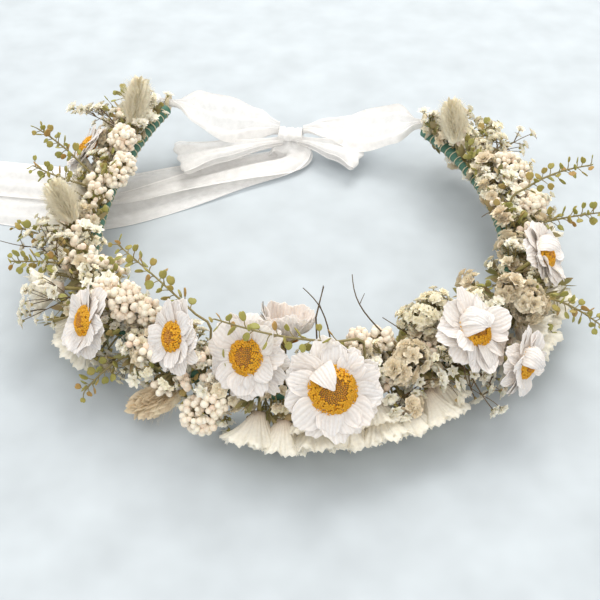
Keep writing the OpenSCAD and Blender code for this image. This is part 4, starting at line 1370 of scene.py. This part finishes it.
class CROWN_OT_filler(bpy.types.Operator):
    """Small sprigs, leaves and loose florets that close the garland"""
    bl_idname = "crown.filler"
    bl_label = "Filler"

    def bunch_name(self, t):
        """Name of the bunch for station t, counted outwards from the middle."""
        if abs(t) <= FRONT_END:
            return "front_1" if t < 0 else "front_2"
        return ("right_" if t > 0 else "left_") + str(1 + (abs(t) > 105) + (abs(t) > 150))

    def cluster(self, rng, bunch, p, way, shapes, count, spread, sizes):
        for _ in range(count):
            q = p + jitter(rng, spread)
            out = (q - p + way * 2).normalized()
            bunch.stem([p - way * 2, q], (0.25, 0.2), STALK, 0.5)
            bunch.add(rng.choice(shapes), aimed(q, out, any_roll(rng), rng.uniform(*sizes)),
                      rng.uniform(0, 0.9))

    def pods(self, rng, bunch, start, p, way):
        for _ in range(rng.choice((4, 5, 6))):
            base = start + (p - start) * rng.uniform(0.45, 1.0)
            out = (way + jitter(rng)).normalized()
            end = base + out * rng.uniform(1.5, 4.5)
            end.z = max(end.z, 2.0)
            bunch.stem([base, end], (0.22, 0.16), STALK, 0.5)
            turned = planted(rng, end, out, 1)
            bunch.add(BITS["filler pod"], turned @ Matrix.Scale(rng.uniform(1.2, 1.9), 4),
                      rng.choice((0.0, 0.1, 0.2, 0.3, 0.5, 1.0)))

    def leaves(self, rng, bunch, start, p, way, leaf):
        for _ in range(7):
            out = (way + jitter(rng, 0.8)).normalized()
            base = start + (p - start) * rng.uniform(0.3, 1)
            bunch.add(leaf, aimed(base, out, any_roll(rng), rng.uniform(4, 8)), rng.uniform(0, 1))

    def florets(self, rng, bunch, p, way, shapes, outer):
        for _ in range(3 if outer else 4):
            q = p + jitter(rng, 4)
            q.z = max(q.z, 3)
            bunch.stem([p - way * 3, q], (0.22, 0.15), STALK, 0.2)
            size = rng.uniform(1.4, 2.3) if outer else rng.uniform(1.9, 3.1)
            bunch.add(rng.choice(shapes), aimed(q, way, any_roll(rng), size), rng.uniform(0, 0.6))
            bunch.add(BITS["filler calyx"], aimed(q - way * 0.15 * size, way, 0, size), 0.5)

    def twigs(self, rng, bunches):
        for root, tip in TWIGS:
            a, b = spot(root), spot(tip)
            bunch = bunches[self.bunch_name(root[0])]
            line = wander(rng, a, b, 0.14, 8)
            bunch.stem([foot(root[0], a)] + line, (0.32, 0.16), TWIG, 0.4)
            side = line[4] + Vector((rng.uniform(-3, 3), rng.uniform(-2, 2), 4))
            bunch.stem([line[4], side], (0.2, 0.12), TWIG, 0.4)

    def execute(self, context):
        rng = random.Random(59)
        total = context.scene.crown_shape.filler
        ruffle = [ruffle_shape(rng, 3, 1, 1.0, 6) for _ in range(4)]
        yarrow = [ruffle_shape(rng, 2, 2, 1.0, 5) for _ in range(3)]
        breath = [ruffle_shape(rng, 3, 0, 1.0, 6) for _ in range(4)]
        # Shapes, how many, how far apart, sizes, and how far back along the sprig
        clusters = {"ruffle": (ruffle, 5, 3.2, (2.0, 3.8), 1), "yarrow": (yarrow, 11, 3.2, (1.1, 1.9), 0),
                    "bud": ([bud_shape(3)], 10, 3.0, (1.0, 1.6), 0)}
        leaf = leaf_shape(0.2, 4)
        names = ["front_1", "front_2"] + [side + str(k) for side in ("right_", "left_") for k in (1, 2, 3)]
        bunches = {name: Bunch() for name in names}
        for k in range(total):
            t = -197 + 394 * (k + rng.uniform(0.2, 0.8)) / total
            front = abs(t) <= FRONT_END
            bunch = bunches[self.bunch_name(t)]
            around = rng.uniform(-70, 205) if abs(t) < 84 else rng.uniform(-55, 112)
            layer = rng.choice((0, 0, 1, 1) if front else (0, 0, 1, 1, 1, 2))
            distances, margin = LAYERS[layer]
            reach = rng.uniform(*distances)
            if layer == 2:
                around = rng.uniform(-20, 50)
            a = math.radians(around)
            p = spot((t + rng.uniform(-2, 2), reach * math.cos(a), reach * math.sin(a)))
            p.z = max(p.z, 12.0 if -192 < t < -138 else 4.0)
            if in_front_of_daisy(p, margin):
                continue
            start = foot(t, p)
            way = (p - start).normalized()
            kind = rng.choice(KINDS["front" if front else ("right" if t > 0 else "left")])
            if layer == 2 and kind in ("ruffle", "bud"):
                kind = "breath"
            # About a third of the inner layer becomes dark leaves: real foliage, and also dark filling
            # that stands in for the shade deep in the garland
            if layer == 0 and rng.random() < 0.35:
                kind = "leaf"
            bunch.stem(wander(rng, start, p, 0.1, 3), (0.45, 0.3), STALK, rng.uniform(0, 1))
            if kind in clusters:
                shapes, count, spread, sizes, back = clusters[kind]
                self.cluster(rng, bunch, p - back * way, way, shapes, count, spread, sizes)
            elif kind == "pods":
                self.pods(rng, bunch, start, p, way)
            elif kind == "leaf":
                self.leaves(rng, bunch, start, p, way, leaf)
            else:
                self.florets(rng, bunch, p, way, breath, layer == 2)
        self.twigs(rng, bunches)
        for name, bunch in bunches.items():
            crown_piece(bunch, "filler_" + name, FILLER_KEYS)
        return {"FINISHED"}


# Ribbon

CHORD = (EYE_R - EYE_L).normalized()
BACK = Vector((0, 0, 1)).cross(CHORD).normalized()
RISE = CHORD.cross(BACK)


def along(points, s):
    """Point at share s of a list of vectors, spaced evenly."""
    x = min(max(s, 0), 1) * (len(points) - 1)
    k = min(int(x), len(points) - 2)
    return points[k].lerp(points[k + 1], x - k)


def blend_value(pairs, s):
    """Value at s between (place, value) pairs, eased."""
    for (s0, a), (s1, b) in zip(pairs, pairs[1:]):
        if s <= s1:
            f = min(max((s - s0) / (s1 - s0), 0), 1)
            f = f * f * (3 - 2 * f)
            return a + (b - a) * f
    return pairs[-1][1]


def folded(centre, across, normal, u, half, flat, waves, phase, most=1.6):
    """Point across a gathered ribbon: the narrower it is held, the deeper its folds."""
    ratio = max(1.02, flat / (2 * half))
    depth = min(most, half / (waves * math.pi) * math.sqrt(2 * (ratio * ratio - 1)))
    ripple = math.sin(waves * math.pi * u + phase) + 0.3 * math.sin(2.3 * waves * u + 2 * phase)
    return centre + across * half * u + normal * depth * ripple


def cloth(name, nu, nv, place, width, length, body, nodes, gathered=False):
    """Open sheet of chiffon with its UV map in millimetres; place takes u from -1 to 1 and s 0 to 1."""
    bm = grid(nu, nv, lambda u, v: place(2 * u - 1, v) * MM)
    layer = bm.loops.layers.uv.active
    for face in bm.faces:
        face.smooth = True
        for loop in face.loops:
            uv = loop[layer].uv
            loop[layer].uv = ((uv[0] - 0.5) * width, uv[1] * length)
    mesh = bpy.data.meshes.new(name)
    bm.to_mesh(mesh)
    bm.free()
    material = MATERIALS["chiffon gathered" if gathered else "chiffon"]
    obj = piece(name, mesh, [material], body, nodes)
    return obj


class CROWN_OT_ribbon(bpy.types.Operator):
    """Chiffon bands, bow and tails"""
    bl_idname = "crown.ribbon"
    bl_label = "Ribbon"

    def band(self, side, eye, name):
        """Band from an eye to the knot, gathered at both ends."""
        inward = -side * CHORD
        knot_end = BOW + side * 6.0 * CHORD + 5.5 * BACK + 2.5 * RISE
        near_knot = BOW + side * 16 * CHORD + 8 * BACK + 3 * RISE
        line = [eye - inward * 4.0, eye, eye + inward * 6, eye + inward * 13 + Vector((0, 0, -0.6))]
        line += [line[-1].lerp(near_knot, f) + Vector((0, 0, -2.2 * math.sin(math.pi * f)))
                 for f in (0.25, 0.5, 0.75)]
        line = smooth_path(line + [near_knot, knot_end], 6)
        length = path_length(line)
        neck = 12 / length
        halves = ((0, 2.1), (neck, 2.4), (neck + 0.22, 13.0), (0.62, 16.0), (0.86, 11.0), (1.0, 3.8))

        def place(u, s):
            across = (BACK + RISE * (0.25 * math.sin(3 * s + side))).normalized()
            normal = CHORD.cross(across) * side
            phase = 1.3 * side + 1.6 * math.sin(4 * s)
            p = folded(along(line, s), across, normal, u, blend_value(halves, s), BAND_WIDE,
                       5.0 if s < neck else 3.2, phase, 1.7)
            return p + normal * 0.5 * math.sin(9 * s + 2 * u + side)

        cloth(name + "_chiffon_band", 44, 90, place, BAND_WIDE, length, "ribbon", [name + "_band"])

    def loop(self, side, reach, yaw, name):
        """Loop of the bow, out from the knot and back over itself."""
        turn = Matrix.Rotation(math.radians(-yaw), 3, "Z")
        start = Vector((7.6, -3.8, 0))
        halves = ((0, 2.6), (0.16, RIBBON_WIDE * 0.30), (0.38, RIBBON_WIDE * 0.5),
                  (0.5, RIBBON_WIDE * 0.47), (0.62, RIBBON_WIDE * 0.5), (0.84, RIBBON_WIDE * 0.30),
                  (1, 2.6))

        def place(u, s):
            a = math.pi * s
            k = math.sin(a) ** 0.72 if 0 < s < 1 else 0.0
            x = reach * k - 3.5 * (1 - k)
            z = 8.2 - (3.3 + 0.7 * k) * math.cos(a) * (0.25 + 0.75 * k)
            normal = Vector((0, 0, 1))
            if 0.3 < s < 0.7:
                b = math.pi * (s - 0.3) / 0.4
                normal = Vector((math.sin(b) * 0.9, 0, -math.cos(b)))
            elif s <= 0.3:
                normal = Vector((0, 0, -1))
            p = folded(Vector((x, 0, z)), Vector((0, 1, 0)), normal, u, blend_value(halves, s),
                       RIBBON_WIDE, 3.0, 0.8 + 2.2 * s, 0.9)
            p.z += 0.35 * math.sin(5 * u + 6 * s)
            q = turn @ p + start
            q.x *= side
            return q + Vector((BOW.x, BOW.y, 0))

        cloth(name + "_chiffon_loop", 36, 90, place, RIBBON_WIDE, 1.75 * reach, "ribbon",
              [name + "_bow_loop"])

    def wrap(self):
        """Creased wrap of ribbon round the middle of the bow."""
        def place(u, s):
            a = math.radians(-26 + 193 * s)
            end = min(1.0, 7 * min(s, 1 - s))
            crease = 0.28 * math.sin(9 * u + 3 * s) + 0.18 * math.sin(17 * u - 5 * s + 1)
            r = 4.0 + 1.5 * end * (1 + 0.12 * u * u) + crease * (0.5 + 0.5 * end)
            half = 6.6 * (0.93 + 0.07 * math.cos(2 * a))
            return BOW + CHORD * half * u + BACK * r * math.cos(a) + RISE * r * math.sin(a)

        cloth("bow_knot_wrap", 56, 40, place, 16.0, 18.0, "ribbon", ["bow_knot"],
              gathered=True)

    def tail(self, path, height, name, seed):
        """Tail from the knot along the table, at a height above it."""
        slope = math.radians(208)
        exit_way = BACK * math.cos(slope) + RISE * math.sin(slope)
        drop = [BOW - exit_way * 0.5, BOW + exit_way * 4.5]
        line = smooth_path(drop + [Vector((x, y, height)) for x, y in path], 8)
        lowest = 0.35 + 0.6 * (height > 2)

        def place(u, s):
            way = (along(line, s + 0.02) - along(line, s - 0.02)).normalized()
            across = Vector((way.y, -way.x, 0)).normalized()
            if s < 0.05:
                across = CHORD.lerp(across, s / 0.05).normalized()
            half = blend_value(((0, 3.8), (0.05, 4.6), (0.22, 11.3), (0.5, 12.6), (1.0, 12.8)), s)
            lift = blend_value(((0, 0.2), (0.1, 1.0), (0.3, 1.5), (0.75, 1.0), (1, 0.7)), s)
            p = folded(along(line, s), across, Vector((0, 0, 1)), u, half, RIBBON_WIDE + 1, 2.6,
                       seed + 5 * s, 0.8)
            wave = math.sin(2.2 * u + seed + 7 * s) + 0.5 * math.sin(5.1 * u - 9 * s)
            p.z = max(lowest, p.z + lift * wave)
            if s > 0.97:
                p += way * 4 * u * (s - 0.97) / 0.03
            return p

        cloth(name + "_chiffon_tail", 40, 150, place, RIBBON_WIDE, path_length(line), "tails",
              ["ribbon_tails"])

    def stopper(self, side, eye, name):
        """Creased ball of knotted ribbon outside an eye."""
        bm = bmesh.new()
        bmesh.ops.create_uvsphere(bm, u_segments=48, v_segments=32, radius=1)
        for v in bm.verts:
            x, y, z = v.co
            a = math.atan2(y, x)
            fold = 0.07 * math.sin(5 * a + 4 * z) + 0.05 * math.sin(9 * a - 6 * z + 1)
            strap = 0.10 * math.exp(-((x + 0.55 * y) / 0.30) ** 2)
            r = 4.45 * (1 + fold * (1 - z * z) + strap - 0.05)
            v.co = Vector((x * r, y * r, z * r * 0.95))
        tilt = Matrix.Rotation(0.6 * side, 4, "X") @ Matrix.Rotation(0.8, 4, "Y")
        knot = Bunch()
        knot.add(shape_of(bm), Matrix.Translation(eye + side * 7.4 * CHORD) @ tilt, 0.3)
        piece(name + "_stopper_folds", knot.mesh(name + "_stopper_folds"),
              [MATERIALS["chiffon gathered"]], "ribbon", [name + "_stopper_knot"])

    def execute(self, context):
        sides = ((-1, EYE_L, "left"), (1, EYE_R, "right"))
        for side, eye, name in sides:
            self.band(side, eye, name)
        self.loop(-1, 50, 17, "left")
        self.loop(1, 31, 22, "right")
        self.wrap()
        self.tail(UPPER_TAIL, 2.6, "upper", 0.4)
        self.tail(LOWER_TAIL, 1.0, "lower", 2.1)
        for side, eye, name in sides:
            self.stopper(side, eye, name)
        return {"FINISHED"}


class CROWN_PT_panel(bpy.types.Panel):
    """Steps that build the flower crown"""
    bl_label = "Flower crown"
    bl_idname = "CROWN_PT_panel"
    bl_space_type = "VIEW_3D"
    bl_region_type = "UI"
    bl_category = "Flower crown"

    def draw(self, context):
        for group in (context.scene.crown_shape, context.scene.crown_colours):
            for key in group.bl_rna.properties.keys():
                if key not in ("rna_type", "name"):
                    self.layout.prop(group, key)
        for operator in OPERATORS:
            self.layout.operator(operator.bl_idname)


OPERATORS = [CROWN_OT_stage, CROWN_OT_hoop, CROWN_OT_daisies, CROWN_OT_statice, CROWN_OT_rice_flower,
             CROWN_OT_small_florets, CROWN_OT_grass_heads, CROWN_OT_babys_breath,
             CROWN_OT_pennycress, CROWN_OT_filler, CROWN_OT_ribbon]
CLASSES = [CrownShape, CrownColours, *OPERATORS, CROWN_PT_panel]


def register():
    for cls in CLASSES:
        bpy.utils.register_class(cls)
    bpy.types.Scene.crown_shape = bpy.props.PointerProperty(type=CrownShape)
    bpy.types.Scene.crown_colours = bpy.props.PointerProperty(type=CrownColours)


def unregister():
    del bpy.types.Scene.crown_shape
    del bpy.types.Scene.crown_colours
    for cls in reversed(CLASSES):
        bpy.utils.unregister_class(cls)


def main():
    register()
    make_bits()
    for operator in OPERATORS:
        group, name = operator.bl_idname.split(".")
        getattr(getattr(bpy.ops, group), name)()
    boxes = [[list(corner) for corner in box] for box in (CAD_BOX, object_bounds())]


if __name__ == "__main__":
    main()
